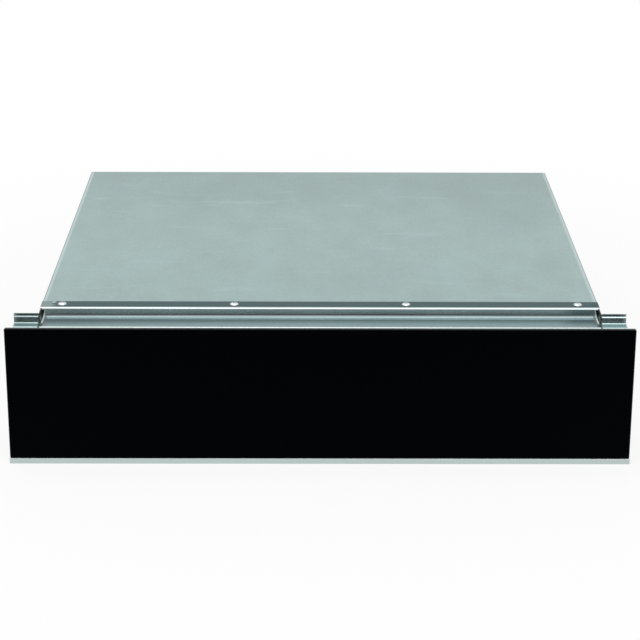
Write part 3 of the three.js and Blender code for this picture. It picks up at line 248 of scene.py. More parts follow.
# ---- Shader helpers ----
class Surface:
    """A procedural material on object coordinates, which are metres in the row frame."""

    def __init__(self, name, metallic=0.0, roughness=0.5, **constants):
        self.material = bpy.data.materials.new(name)
        self.material.use_nodes = True
        self.tree = self.material.node_tree
        self.shader = self.tree.nodes["Principled BSDF"]
        self.shader.inputs["Metallic"].default_value = metallic
        self.shader.inputs["Roughness"].default_value = roughness
        for key, value in constants.items():
            self.shader.inputs[key.replace("_", " ")].default_value = value
        self.place = self.node("ShaderNodeTexCoord").outputs["Object"]

    def node(self, kind, **values):
        made = self.tree.nodes.new(kind)
        for key, value in values.items():
            setattr(made, key, value)
        return made

    def link(self, output, target):
        self.tree.links.new(output, target)

    def stretched(self, scale):
        mapping = self.node("ShaderNodeMapping")
        mapping.inputs["Scale"].default_value = scale
        self.link(self.place, mapping.inputs["Vector"])
        return mapping.outputs["Vector"]

    def axes(self):
        """X, Y and Z in millimetres."""
        split = self.node("ShaderNodeSeparateXYZ")
        self.link(self.stretched((1 / MM, 1 / MM, 1 / MM)), split.inputs["Vector"])
        return [split.outputs[axis] for axis in "XYZ"]

    def noise(self, scale, detail=2.0, rough=0.5):
        """Soft noise with the given number of waves a metre along each axis."""
        made = self.node("ShaderNodeTexNoise")
        made.inputs["Scale"].default_value = 1.0
        made.inputs["Detail"].default_value = detail
        made.inputs["Roughness"].default_value = rough
        self.link(self.stretched(scale), made.inputs["Vector"])
        return made.outputs["Fac"]

    def cells(self, scale):
        """Flat patches of even tone, like the crystals of a zinc coating."""
        made = self.node("ShaderNodeTexVoronoi")
        made.inputs["Scale"].default_value = 1.0
        self.link(self.stretched(scale), made.inputs["Vector"])
        split = self.node("ShaderNodeSeparateColor")
        self.link(made.outputs["Color"], split.inputs["Color"])
        return split.outputs["Red"]

    def ranged(self, value, from_low, from_high, low, high, smooth=False):
        made = self.node("ShaderNodeMapRange", interpolation_type="SMOOTHSTEP" if smooth else "LINEAR")
        limits = {"From Min": from_low, "From Max": from_high, "To Min": low, "To Max": high}
        for key, number in limits.items():
            made.inputs[key].default_value = number
        self.link(value, made.inputs["Value"])
        return made.outputs["Result"]

    def mask(self, value, zone, smooth=True):
        """0 at the first place of a zone, 1 at the second."""
        return self.ranged(value, *zone, 0, 1, smooth)

    def math(self, operation, a, b):
        made = self.node("ShaderNodeMath", operation=operation)
        for value, target in zip((a, b), made.inputs):
            if isinstance(value, (int, float)):
                target.default_value = value
            else:
                self.link(value, target)
        return made.outputs[0]

    def product(self, first, *others):
        for other in others:
            first = self.math("MULTIPLY", first, other)
        return first

    def distance(self, coordinate):
        """A coordinate's distance from zero, to either side."""
        return self.math("ABSOLUTE", coordinate, 0.0)

    def inverse(self, mask):
        return self.math("SUBTRACT", 1.0, mask)

    def tilted(self, value, along, origin, tilt):
        """A coordinate that grows by the tilt for each millimetre past an origin along another one."""
        return self.math("ADD", value, self.product(self.math("SUBTRACT", along, origin), tilt))

    def total(self, *layers):
        """The weighted sum of several patterns, centred on one half."""
        result = 0.5
        for pattern, weight in layers:
            part = self.product(self.math("SUBTRACT", pattern, 0.5), weight)
            result = self.math("ADD", part, result)
        return result

    def mixed(self, factor, low, high):
        made = self.node("ShaderNodeMix", data_type="RGBA")
        self.link(factor, made.inputs["Factor"])
        for value, key in ((low, "A"), (high, "B")):
            target = [s for s in made.inputs if s.name == key and s.type == "RGBA"][0]
            if isinstance(value, tuple):
                target.default_value = (*value, 1)
            else:
                self.link(value, target)
        return [s for s in made.outputs if s.type == "RGBA"][0]

    def varied(self, tone, base, low, high):
        """A base colour that a pattern varies between two factors."""
        dark, light = (tuple(channel * factor for channel in base) for factor in (low, high))
        return self.mixed(tone, dark, light)

    def colour(self, value):
        self.link(value, self.shader.inputs["Base Color"])

    def roughness(self, value):
        self.link(value, self.shader.inputs["Roughness"])

    def metallic(self, value):
        self.link(value, self.shader.inputs["Metallic"])

    def bump(self, height, depth_mm, strength=0.3):
        made = self.node("ShaderNodeBump")
        made.inputs["Strength"].default_value = strength
        made.inputs["Distance"].default_value = depth_mm * MM
        self.link(height, made.inputs["Height"])
        self.link(made.outputs["Normal"], self.shader.inputs["Normal"])


# ---- Finishes ----
COVER_ZINC = (0.305, 0.412, 0.402)
COVER_FOLD_HIGHLIGHT_ZINC = (0.47, 0.58, 0.58)
COVER_RIM_SHADE_ZINC = (0.20, 0.25, 0.245)
WING_ZINC = (0.36, 0.45, 0.45)
FLANGE_DARK_REFLECTION_ZINC = (0.04, 0.085, 0.088)
FLANGE_LIGHT_REFLECTION_ZINC = (0.25, 0.32, 0.315)
LEDGE_REFLECTION_ZINC = (0.145, 0.18, 0.18)
COVE_HIGHLIGHT_ZINC = (0.57, 0.67, 0.675)
FOLD_SHADE_ZINC = (0.20, 0.245, 0.25)
END_HIGHLIGHT_ZINC = (0.72, 0.78, 0.78)
BLUNT_ZINC = (0.17, 0.215, 0.215)
STEP_REFLECTION_ZINC = (0.465, 0.56, 0.57)
STEP_END_SHADE_ZINC = (0.24, 0.32, 0.33)
UPPER_BEND_HIGHLIGHT_ZINC = (0.55, 0.62, 0.63)
FRONT_BEND_HIGHLIGHT_ZINC = (0.42, 0.48, 0.48)
CASING_ZINC = (0.34, 0.43, 0.42)
EAR_CORNER_SHADE_ZINC = (0.04, 0.052, 0.052)
EAR_GAP_SHADE_ZINC = (0.16, 0.20, 0.195)
EAR_EDGE_SHADE_ZINC = (0.075, 0.105, 0.105)
TRIM_STEEL = (0.53, 0.62, 0.60)
SATIN_STEEL = (0.50, 0.53, 0.525)


def cover_sheet():
    """Dull zinc-coated sheet: soft mottling, a few short light rubs across it, fine grain, a painted
    highlight beside its folded sides and painted shade along their rims.
    """
    s = Surface("cover_sheet", metallic=0.9)
    x, y, z = s.axes()
    clouds = s.noise((6, 4, 6), detail=3, rough=0.55)
    mottle = s.noise((26, 13, 26), detail=4, rough=0.62)
    rubs = s.ranged(s.noise((13, 52, 52), detail=3, rough=0.6), 0.58, 0.78, 0.5, 1.0, smooth=True)
    grain = s.noise((420, 260, 420), detail=3)
    spangle = s.cells((150, 120, 150))
    depth = s.ranged(y, *COVER_DEPTH_Y, 0.64, 0.28, smooth=True)
    tone = s.total((clouds, 0.55), (mottle, 1.1), (rubs, 1.0), (grain, 0.9), (spangle, 0.15), (depth, 1.0))
    reach = s.distance(x)
    on_top = s.mask(z, COVER_TOP_Z)
    # painted highlight beside the folded sides, patchy with the mottle
    patchy_top = s.product(s.ranged(mottle, 0.3, 0.6, 0.7, 1.0), on_top)
    fold_highlight = s.product(s.mask(reach, COVER_FOLD_HIGHLIGHT_X), patchy_top)
    # painted shade along the rims of the folded sides
    rim = s.product(s.mask(reach, COVER_RIM_SHADE_X), on_top)
    sheet = s.varied(tone, COVER_ZINC, 0.86, 1.14)
    s.colour(s.mixed(rim, s.mixed(fold_highlight, sheet, COVER_FOLD_HIGHLIGHT_ZINC), COVER_RIM_SHADE_ZINC))
    s.roughness(s.ranged(s.total((mottle, 0.6), (spangle, 0.3)), 0, 1, 0.36, 0.48))
    s.bump(s.total((grain, 0.8), (spangle, 0.15)), 0.02)
    return s.material


def galvanised_sheet():
    """Galvanised sheet with its spangle, and painted shade on the panels' ears beside the rail."""
    s = Surface("galvanised_sheet", metallic=0.92)
    x, y, z = s.axes()
    clouds = s.noise((9, 9, 9), detail=4, rough=0.6)
    streaks = s.noise((8, 8, 160), detail=3)
    spangle = s.cells((120, 120, 120))
    grain = s.noise((700, 700, 700), detail=2)
    rubs = s.ranged(s.noise((60, 13, 60), detail=3, rough=0.6), 0.6, 0.8, 0.5, 1.0, smooth=True)
    tone = s.total((clouds, 1.2), (streaks, 0.6), (spangle, 0.5), (grain, 0.5), (rubs, 0.8))
    inner = s.mask(s.distance(x), EAR_INNER_X, smooth=False)
    ear = s.product(s.mask(y, EAR_Y, smooth=False), s.mask(z, EAR_Z, smooth=False), inner)
    edge = s.product(s.mask(y, EAR_EDGE_Y, smooth=False), s.mask(z, EAR_EDGE_Z, smooth=False), inner)
    shade = s.mask(s.tilted(z, y, EAR_SHADE_Y, EAR_SHADE_TILT), EAR_SHADE)
    sheet = s.varied(tone, CASING_ZINC, 0.84, 1.14)
    # painted shade on the ears' inner faces, in the gap beside the rail
    sheet = s.mixed(ear, sheet, EAR_GAP_SHADE_ZINC)
    # painted shade on the ears' front edges
    sheet = s.mixed(edge, sheet, EAR_EDGE_SHADE_ZINC)
    # deeper painted shade in the corner under the flange
    s.colour(s.mixed(s.product(ear, shade), sheet, EAR_CORNER_SHADE_ZINC))
    s.roughness(s.ranged(s.total((clouds, 0.6), (spangle, 0.5)), 0, 1, 0.3, 0.5))
    s.bump(s.total((grain, 0.5), (spangle, 0.3)), 0.02)
    return s.material


def bright_zinc_sheet():
    """Smooth rolled sheet, with painted light on the rail: a painted dark reflection on its flange, painted
    reflections on its step and ledge, painted highlights in its cove, on its bends and along the step's
    slanted ends, and painted shade in its fold and towards the step's right end.
    """
    s = Surface("bright_zinc_sheet", metallic=0.95, Specular_Tint=(0.72, 0.76, 0.77, 1))
    x, y, z = s.axes()
    rolled = s.noise((10, 420, 420), detail=3)
    clouds = s.noise((16, 16, 16), detail=3)
    tone = s.total((rolled, 0.7), (clouds, 0.9))
    reach = s.distance(x)
    on_rail = s.product(s.mask(reach, RAIL_X, smooth=False), s.mask(z, RAIL_Z, smooth=False))
    behind = s.mask(y, BEHIND_BEND_Y)
    ahead = s.inverse(behind)
    above = s.mask(z, UPPER_BEND_Z)
    below = s.inverse(above)
    over_cove = s.mask(z, ABOVE_COVE_Z)
    low = s.inverse(over_cove)
    on_step = s.product(s.mask(y, STEP_Y), below, over_cove)
    on_flange = s.product(s.mask(z, FLANGE_Z), behind)
    slanted = s.math("ADD", s.tilted(reach, z, END_HIGHLIGHT_Z, END_HIGHLIGHT_TILT), s.product(low, END_HIGHLIGHT_COVE_SHIFT))
    end_highlight = s.product(s.mask(slanted, END_HIGHLIGHT_X, smooth=False), s.mask(reach, END_HIGHLIGHT_STOP_X, smooth=False),
                     s.mask(y, END_HIGHLIGHT_Y, smooth=False), below)
    blunt = s.product(s.mask(reach, BLUNT_X), low, s.mask(y, BLUNT_Y), ahead)
    layers = [  # each one lies over those before it
        # painted reflection on the ledge, darker towards its front
        (LEDGE_REFLECTION_ZINC, s.ranged(y, *LEDGE_Y, LEDGE_LEAST, 1, smooth=True)),
        # painted highlight in front of the cove
        (COVE_HIGHLIGHT_ZINC, s.product(s.mask(y, COVE_Y), low)),
        # painted shade in the crease at the foot of the step
        (FOLD_SHADE_ZINC, s.product(s.mask(y, FOLD_Y), low)),
        # painted reflection on the step's face
        (STEP_REFLECTION_ZINC, on_step),
        # painted shade towards the step's right end
        (STEP_END_SHADE_ZINC, s.product(on_step, s.mask(x, STEP_DIM_X))),
        (BLUNT_ZINC, blunt),
        # painted highlight lines along the step's slanted ends
        (END_HIGHLIGHT_ZINC, end_highlight),
        # lighter painted reflection on the flange, left over at its left end
        (FLANGE_LIGHT_REFLECTION_ZINC, on_flange),
        # painted dark reflection on the rest of the flange
        (FLANGE_DARK_REFLECTION_ZINC, s.product(on_flange, s.mask(x, FLANGE_DARK_X))),
        # painted highlight on the upper bend
        (UPPER_BEND_HIGHLIGHT_ZINC, s.product(above, ahead)),
        # painted highlight on the front bend
        (FRONT_BEND_HIGHLIGHT_ZINC, s.mask(y, FRONT_BEND_Y)),
    ]
    colour = s.varied(tone, WING_ZINC, 0.9, 1.1)
    for base, zone in layers:
        colour = s.mixed(s.product(zone, on_rail), colour, s.varied(tone, base, 0.9, 1.1))
    s.colour(colour)
    matt = s.product(s.math("MAXIMUM", end_highlight, s.product(blunt, BLUNT_MATT)), on_rail)
    s.metallic(s.ranged(matt, 0, 1, 0.95, 0.1))
    s.roughness(s.math("MAXIMUM", s.ranged(tone, 0, 1, 0.17, 0.27), s.product(matt, 0.5)))
    s.bump(rolled, 0.012, 0.25)
    return s.material


def screw_steel():
    """Bright plated steel, slightly uneven."""
    s = Surface("screw_steel", metallic=0.85)
    clouds = s.noise((300, 300, 300), detail=3)
    s.colour(s.mixed(clouds, (0.62, 0.67, 0.67), (0.76, 0.81, 0.81)))
    s.roughness(s.ranged(clouds, 0.2, 0.8, 0.3, 0.44))
    s.bump(s.noise((2500, 2500, 2500)), 0.01)
    return s.material


def runner_steel():
    """Drawn steel with fine lines along the runner."""
    s = Surface("runner_steel", metallic=1.0)
    drawn = s.noise((500, 9, 500), detail=3)
    clouds = s.noise((30, 30, 30), detail=3)
    tone = s.total((drawn, 0.8), (clouds, 0.6))
    s.colour(s.mixed(tone, (0.46, 0.49, 0.50), (0.62, 0.64, 0.64)))
    s.roughness(s.ranged(tone, 0, 1, 0.22, 0.36))
    s.bump(drawn, 0.012)
    return s.material


def black_glass():
    """Opaque black glass with a polished, slightly lighter ground edge."""
    s = Surface("black_glass", IOR=1.5, Specular_Tint=(0.012, 0.02, 0.034, 1))
    x, _, z = s.axes()
    low, high = (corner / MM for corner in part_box("glass_front"))
    top = s.mask(s.math("SUBTRACT", z, high.z), GLASS_EDGE_Z)
    left = s.mask(s.math("SUBTRACT", low.x, x), GLASS_EDGE_X)
    right = s.mask(s.math("SUBTRACT", x, high.x), GLASS_EDGE_X)
    edge = s.math("MAXIMUM", top, s.math("MAXIMUM", left, right))
    s.colour(s.mixed(edge, (0.0003, 0.0003, 0.0004), (0.028, 0.032, 0.032)))
    s.roughness(s.ranged(s.math("ADD", edge, s.noise((14, 14, 14))), 0, 2, 0.012, 0.2))
    return s.material


def stainless_trim():
    """Finely brushed along the strip."""
    s = Surface("stainless_trim", metallic=1.0)
    brushing = s.noise((22, 3000, 3000), detail=3)
    clouds = s.noise((8, 60, 60), detail=2)
    tone = s.total((brushing, 0.9), (clouds, 0.6))
    s.colour(s.varied(tone, TRIM_STEEL, 0.9, 1.08))
    s.roughness(s.ranged(tone, 0, 1, 0.24, 0.36))
    s.bump(brushing, 0.01)
    return s.material


def stainless_sheet():
    """Satin sheet, brushed across the drawer."""
    s = Surface("stainless_sheet", metallic=1.0)
    brushing = s.noise((14, 1400, 1400), detail=3)
    clouds = s.noise((6, 6, 6), detail=3)
    tone = s.total((brushing, 0.8), (clouds, 0.7))
    s.colour(s.varied(tone, SATIN_STEEL, 0.9, 1.1))
    s.roughness(s.ranged(tone, 0, 1, 0.24, 0.38))
    s.bump(brushing, 0.012)
    return s.material


def rubber(name, dark, light):
    """Matt rubber with fine grain and some dust."""
    s = Surface(name)
    dust = s.noise((60, 60, 60), detail=4)
    grain = s.noise((3200, 3200, 3200), detail=2)
    s.colour(s.mixed(s.total((dust, 0.9), (grain, 0.4)), dark, light))
    s.roughness(s.ranged(dust, 0.2, 0.8, 0.62, 0.82))
    s.bump(grain, 0.03, 0.4)
    return s.material


def plastic(name, dark, light):
    """Moulded plastic with a fine spark-eroded grain."""
    s = Surface(name)
    moulding = s.noise((45, 45, 45), detail=2)
    grain = s.noise((2600, 2600, 2600), detail=3)
    s.colour(s.mixed(s.total((moulding, 0.7), (grain, 0.3)), dark, light))
    s.roughness(s.ranged(grain, 0.3, 0.7, 0.42, 0.56))
    s.bump(grain, 0.02, 0.5)
    return s.material


def lamp_lens():
    s = Surface("lamp_lens", roughness=0.12, Coat_Weight=0.4)
    ribs = s.noise((900, 900, 900), detail=1)
    s.colour(s.mixed(ribs, (0.55, 0.14, 0.03), (0.8, 0.28, 0.08)))
    s.bump(ribs, 0.05, 0.4)
    return s.material


def fan_metal():
    s = Surface("fan_metal", metallic=1.0)
    pressed = s.noise((70, 70, 70), detail=4)
    s.colour(s.mixed(pressed, (0.42, 0.44, 0.45), (0.62, 0.64, 0.65)))
    s.roughness(s.ranged(pressed, 0.2, 0.8, 0.3, 0.46))
    s.bump(s.noise((1400, 1400, 1400)), 0.02)
    return s.material


def heater_sheath():
    """Steel that the heat has darkened unevenly."""
    s = Surface("heater_sheath", metallic=0.85)
    heat = s.noise((26, 26, 26), detail=4)
    s.colour(s.mixed(heat, (0.07, 0.065, 0.06), (0.19, 0.17, 0.15)))
    s.roughness(s.ranged(heat, 0.2, 0.8, 0.4, 0.6))
    s.bump(s.noise((1200, 1200, 1200)), 0.03, 0.4)
    return s.material


def white_print():
    s = Surface("white_print")
    s.colour(s.mixed(s.noise((1500, 1500, 1500)), (0.68, 0.68, 0.66), (0.8, 0.8, 0.78)))
    return s.material


finishes = {
    "cover_sheet": cover_sheet(),
    "galvanised_sheet": galvanised_sheet(),
    "bright_zinc_sheet": bright_zinc_sheet(),
    "screw_steel": screw_steel(),
    "runner_steel": runner_steel(),
    "black_glass": black_glass(),
    "stainless_trim": stainless_trim(),
    "stainless_sheet": stainless_sheet(),
    "seal_rubber": rubber("seal_rubber", (0.008, 0.008, 0.009), (0.02, 0.02, 0.022)),
    "mat_rubber": rubber("mat_rubber", (0.022, 0.024, 0.026), (0.045, 0.048, 0.051)),
    "black_plastic": plastic("black_plastic", (0.006, 0.006, 0.007), (0.014, 0.014, 0.015)),
    "pale_plastic": plastic("pale_plastic", (0.56, 0.56, 0.52), (0.66, 0.66, 0.62)),
    "lamp_lens": lamp_lens(),
    "lead_rubber": rubber("lead_rubber", (0.006, 0.006, 0.007), (0.016, 0.016, 0.018)),
    "fan_metal": fan_metal(),
    "heater_sheath": heater_sheath(),
}
print_white = white_print()


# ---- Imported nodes: finish, soft edges and smooth round faces ----
def soften(obj, width):
    """Joins the split corners, then rounds the edges so that they catch the light."""
    mesh = obj.data
    if mesh.has_custom_normals:
        mesh.attributes.remove(mesh.attributes["custom_normal"])
    mesh.polygons.foreach_set("use_smooth", [True] * len(mesh.polygons))
    weld = obj.modifiers.new("weld", "WELD")
    weld.merge_threshold = WELD_DISTANCE * MM
    flat = obj.modifiers.new("flat", "DECIMATE")
    flat.decimate_type = "DISSOLVE"
    flat.angle_limit = math.radians(FLAT_ANGLE)
    edge = obj.modifiers.new("edge", "BEVEL")
    edge.width = width * MM
    edge.segments = 2
    edge.limit_method = "ANGLE"
    edge.angle_limit = math.radians(SHARP_ANGLE)
    edge.harden_normals = True


def dress_nodes():
    slots = {part["node"]: part["material_slot"] for part in frame["record"]["subparts"]}
    for name, obj in nodes.items():
        slot = slots[name]
        obj.data.materials.clear()
        obj.data.materials.append(finishes[slot])
        default = FINE_EDGE if slot in FINE_SLOTS else SHEET_EDGE
        soften(obj, NODE_EDGES.get(name, default))


# ---- Placing pieces ----
def build(name, mesh, body, slot, material=None):
    """Puts a mesh in the scene, rides it on a body and gives it a slot's finish."""
    obj = bpy.data.objects.new(name, mesh)
    bpy.context.scene.collection.objects.link(obj)
    if not mesh.materials:
        mesh.materials.append(material or finishes[slot])
    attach(obj, body)
    return obj


def box_of(node):
    """A node's lowest and highest corner in millimetres."""
    return [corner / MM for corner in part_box(node)]


def middle_of(node):
    low, high = box_of(node)
    return (low + high) / 2


def joint_place(name):
    """A joint's place in millimetres."""
    joint = next(joint for joint in frame["joints"] if joint["name"] == name)
    return Vector(joint["pos_m"]) / MM


def standing(direction):
    """The turn that stands Z along a direction."""
    return Vector(direction).to_track_quat("Z", "Y").to_matrix().to_4x4()


def facing(place, direction):
    """The matrix that stands a piece's Z along a direction at a place in millimetres."""
    return Matrix.Translation(Vector(place) * MM) @ standing(direction)


# ---- Meshes: vertices in millimetres, and faces ----
def mesh_of(name, verts, faces, smooth=True):
    """A mesh whose faces look outwards."""
    mesh = bpy.data.meshes.new(name)
    mesh.from_pydata([Vector(v) * MM for v in verts], [], faces)
    mesh.validate()
    shell = bmesh.new()
    shell.from_mesh(mesh)
    bmesh.ops.recalc_face_normals(shell, faces=shell.faces)
    shell.to_mesh(mesh)
    shell.free()
    mesh.polygons.foreach_set("use_smooth", [smooth] * len(mesh.polygons))
    return mesh


def stacked(rings, hollow=False):
    """Rings of as many points each, joined in order and capped, or joined round where it is hollow."""
    count, number = len(rings[0]), len(rings)
    faces = []
    for ring in range(number if hollow else number - 1):
        start, after = ring * count, (ring + 1) % number * count
        faces += [(start + k, start + (k + 1) % count, after + (k + 1) % count, after + k)
                  for k in range(count)]
    if not hollow:
        faces += [tuple(reversed(range(count))), tuple(range((number - 1) * count, number * count))]
    return [point for ring in rings for point in ring], faces


def lathe(profile, segments, radius_at=None, hollow=False):
    """A profile of (radius, height) turned round Z."""
    rings = []
    for radius, height in profile:
        ring = []
        for k in range(segments):
            angle = 2 * math.pi * k / segments
            r = radius * (radius_at(angle, height) if radius_at else 1)
            ring.append((r * math.cos(angle), r * math.sin(angle), height))
        rings.append(ring)
    return stacked(rings, hollow)


def rounded(corners, steps, inset=0):
    """The outline round corners given as x, y, radius and first angle, in degrees."""
    outline = []
    for x, y, radius, start in corners:
        for k in range(steps + 1):
            angle = math.radians(start + 90 * k / steps)
            outline.append((x + (radius - inset) * math.cos(angle), y + (radius - inset) * math.sin(angle)))
    return outline


def block(low, high):
    (x0, y0, z0), (x1, y1, z1) = low, high
    verts = [(x, y, z) for x in (x0, x1) for y in (y0, y1) for z in (z0, z1)]
    return verts, [(0, 1, 3, 2), (4, 6, 7, 5), (0, 4, 5, 1), (2, 3, 7, 6), (0, 2, 6, 4), (1, 5, 7, 3)]


def placed(part, matrix):
    """A part moved by a matrix whose place is in metres."""
    verts, faces = part
    return [tuple(matrix @ (Vector(v) * MM) / MM) for v in verts], faces


def joined(*parts):
    verts, faces = [], []
    for part_verts, part_faces in parts:
        start = len(verts)
        verts += part_verts
        faces += [tuple(i + start for i in face) for face in part_faces]
    return verts, faces


def carved(mesh, cutter):
    """The mesh with the cutter taken away."""
    pair = [bpy.data.objects.new(m.name, m) for m in (mesh, cutter)]
    for obj in pair:
        bpy.context.scene.collection.objects.link(obj)
    cut = pair[0].modifiers.new("cut", "BOOLEAN")
    cut.operation = "DIFFERENCE"
    cut.object = pair[1]
    made = bpy.data.meshes.new_from_object(pair[0].evaluated_get(bpy.context.evaluated_depsgraph_get()))
    for obj in pair:
        bpy.data.objects.remove(obj)
    return made


# ---- Screws ----
def screw_head(name, radius, height, recess, depth):
    """A pan head with a cross recess, seated on z = 0."""
    side = HEAD_SIDE * height
    dome = [(radius, 0), (radius, side)]
    for k in range(1, HEAD_STEPS):
        angle = math.pi / 2 * k / HEAD_STEPS
        dome.append((radius * math.cos(angle), side + (height - side) * math.sin(angle)))
    dome.append((radius * HEAD_CROWN, height))
    head = mesh_of(name, *lathe(dome, HEAD_SEGMENTS))
    half, wide = recess / 2, RECESS_WIDTH / 2
    bottom = height - depth
    bars = [  # the second bar is a little longer, so that no faces of the two coincide
        block((-half, -wide, bottom), (half, wide, height + 1)),
        block((-wide, -half, bottom - 0.1), (wide, half, height + 1.1)),
    ]
    for bar in bars:
        head = carved(head, mesh_of("recess", *bar))
    head.polygons.foreach_set("use_smooth", [False] * len(head.polygons))
    head.name = name
    return head


def rail_screws():
    """The rail's pan heads, each in the place of its packed screw."""
    low, high = box_of("rail_screw_1")
    head = screw_head("rail_screw_head", (high.x - low.x) / 2, RAIL_HEAD_HEIGHT, RAIL_HEAD_RECESS,
                      RAIL_HEAD_RECESS_DEPTH)
    for i in range(1, RAIL_SCREW_COUNT + 1):
        middle, top = middle_of(f"rail_screw_{i}"), box_of(f"rail_screw_{i}")[1].z
        screw = build(f"rail_screw_head_{i}", head, "casing", "screw_steel")
        seat = facing((middle.x, middle.y, top - RAIL_HEAD_HEIGHT), UP)
        screw.matrix_world = seat @ Matrix.Rotation(0.7 + i, 4, "Z")  # each recess turned its own way
        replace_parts(screw, f"rail_screw_{i}")


def small_screws():
    """Screws that hold the cover's sides and the four corners of the back."""
    head = screw_head("small_screw_head", SMALL_HEAD_RADIUS, SMALL_HEAD_HEIGHT, SMALL_HEAD_RECESS,
                      SMALL_HEAD_RECESS_DEPTH)
    cover_top = box_of("top_cover")[1]
    back_low, back_high = box_of("rear_panel")
    places = [((side * cover_top.x, y, cover_top.z - COVER_SCREW_DROP), (side, 0, 0))
              for side in (-1, 1) for y in COVER_SCREW_SETBACKS]
    places += [((side * (back_high.x - BACK_SCREW_INSET), back_high.y, z), REARWARD)
               for side in (-1, 1) for z in (back_low.z + BACK_SCREW_RISE, back_high.z - BACK_SCREW_RISE)]
    for i, (place, direction) in enumerate(places, 1):
        screw = build(f"casing_screw_{i}", head, "casing", "screw_steel")
        screw.matrix_world = facing(place, direction) @ Matrix.Rotation(1.3 * i, 4, "Z")


# ---- Rivets, pressed joints, the flange's dimple and the wings' seams ----
def button(radius, height):
    """A flat round head with a soft edge, seated on z = 0."""
    side = BUTTON_SIDE * height
    edge = height - side
    profile = [(radius, -BUTTON_SINK), (radius, side)]
    profile += [(radius - edge * (1 - math.cos(angle)), side + edge * math.sin(angle))
                for angle in (math.pi / 8 * k for k in range(1, 5))]
    profile.append((radius * BUTTON_CROWN, height))
    return lathe(profile, BUTTON_SEGMENTS)


def casing_buttons():
    """Each side panel's rivets and pressed joints, and the dimple on the rail's flange."""
    rivet = button(RIVET_RADIUS, RIVET_HEIGHT)
    clinch = button(CLINCH_RADIUS, CLINCH_HEIGHT)
    panel_x = box_of("right_side_panel")[1].x
    clinch_start = CLINCH_MIDDLE - CLINCH_PITCH * (CLINCH_COUNT - 1) / 2
    clinch_setbacks = [clinch_start + CLINCH_PITCH * k for k in range(CLINCH_COUNT)]
    for side, name in ((-1, "left"), (1, "right")):
        runner = middle_of(f"{name}_runner_casing_member")
        heads = [(rivet, y, runner.z) for y in RIVET_SETBACKS]
        heads += [(clinch, y, CLINCH_Z) for y in clinch_setbacks]
        parts = [placed(part, facing((side * panel_x, y, z), (side, 0, 0))) for part, y, z in heads]
        mesh = mesh_of(f"{name}_panel_rivets", *joined(*parts))
        build(f"{name}_panel_rivets", mesh, "casing", "galvanised_sheet")
    top = box_of("front_top_rail")[1].z
    dimple = placed(button(DIMPLE_RADIUS, DIMPLE_HEIGHT), facing((*DIMPLE_PLACE, top), UP))
    build("flange_dimple", mesh_of("flange_dimple", *dimple), "casing", "galvanised_sheet")


def wing_seams():
    """A bead along each wing's inner end, between it and the side panel."""
    panel = box_of("right_side_panel")[1].x
    outer = box_of("right_mounting_wing")[0].x + SEAM_BITE
    for side, name in ((-1, "left"), (1, "right")):
        beads = []
        for reach, y0, y1, z0, z1 in SEAM_RUNS:
            x0, x1 = sorted((side * (panel - reach), side * outer))
            beads.append(block((x0, y0, z0), (x1, y1, z1)))
        mesh = mesh_of(f"{name}_wing_seam", *joined(*beads), smooth=False)
        build(f"{name}_wing_seam", mesh, "casing", "bright_zinc_sheet")


# ---- Glass ----
def glass_slab():
    """The glass with its ground edges, its corners slightly rounded."""
    low, high = box_of("glass_front")
    r0, r1 = GLASS_LOWER_CORNER, GLASS_UPPER_CORNER
    corners = [(high.x - r0, low.z + r0, r0, -90), (high.x - r1, high.z - r1, r1, 0),
               (low.x + r1, high.z - r1, r1, 90), (low.x + r0, low.z + r0, r0, 180)]
    sections = [(GLASS_GROUND, low.y), (0, low.y + GLASS_GROUND), (0, high.y - GLASS_GROUND),
                (GLASS_GROUND, high.y)]
    rings = [[(x, y, z) for x, z in rounded(corners, GLASS_CORNER_STEPS, inset)] for inset, y in sections]
    slab = build("glass_slab", mesh_of("glass_slab", *stacked(rings)), "drawer", "black_glass")
    soften(slab, NODE_EDGES["glass_front"])
    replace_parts(slab, "glass_front")


# ---- Louvres of the back ----
def louvre_hood(middle):
    """A pressed hood, open at its lower edge, on the outer face of the back."""
    x0, y0, z0 = middle
    outer, inner = [], []
    for j in range(LOUVRE_ROWS + 1):
        v = j / LOUVRE_ROWS
        z = z0 + LOUVRE_TOP - LOUVRE_HEIGHT * v
        for i in range(LOUVRE_COLUMNS + 1):
            u = 2 * i / LOUVRE_COLUMNS - 1
            swell = math.sqrt(max(0.0, 1 - abs(u) ** LOUVRE_SQUARENESS)) * math.sin(v * math.pi / 2)
            x, y = x0 + u * LOUVRE_LENGTH / 2, y0 + LOUVRE_DEPTH * swell
            outer.append((x, y, z))
            inner.append((x - u * LOUVRE_SHEET / 2, y - max(LOUVRE_SHEET * swell, LOUVRE_THINNEST), z))
    across, count, faces = LOUVRE_COLUMNS + 1, len(outer), []
    for j in range(LOUVRE_ROWS):
        for i in range(LOUVRE_COLUMNS):
            a = j * across + i
            quad = (a, a + 1, a + 1 + across, a + across)
            faces += [quad[::-1], tuple(k + count for k in quad)]
    rim = list(range(across))
    rim += [j * across + LOUVRE_COLUMNS for j in range(1, LOUVRE_ROWS + 1)]
    rim += [LOUVRE_ROWS * across + i for i in reversed(range(LOUVRE_COLUMNS))]
    rim += [j * across for j in reversed(range(1, LOUVRE_ROWS))]
    faces += [(a, b, b + count, a + count) for a, b in zip(rim, rim[1:] + rim[:1])]
    return outer + inner, faces


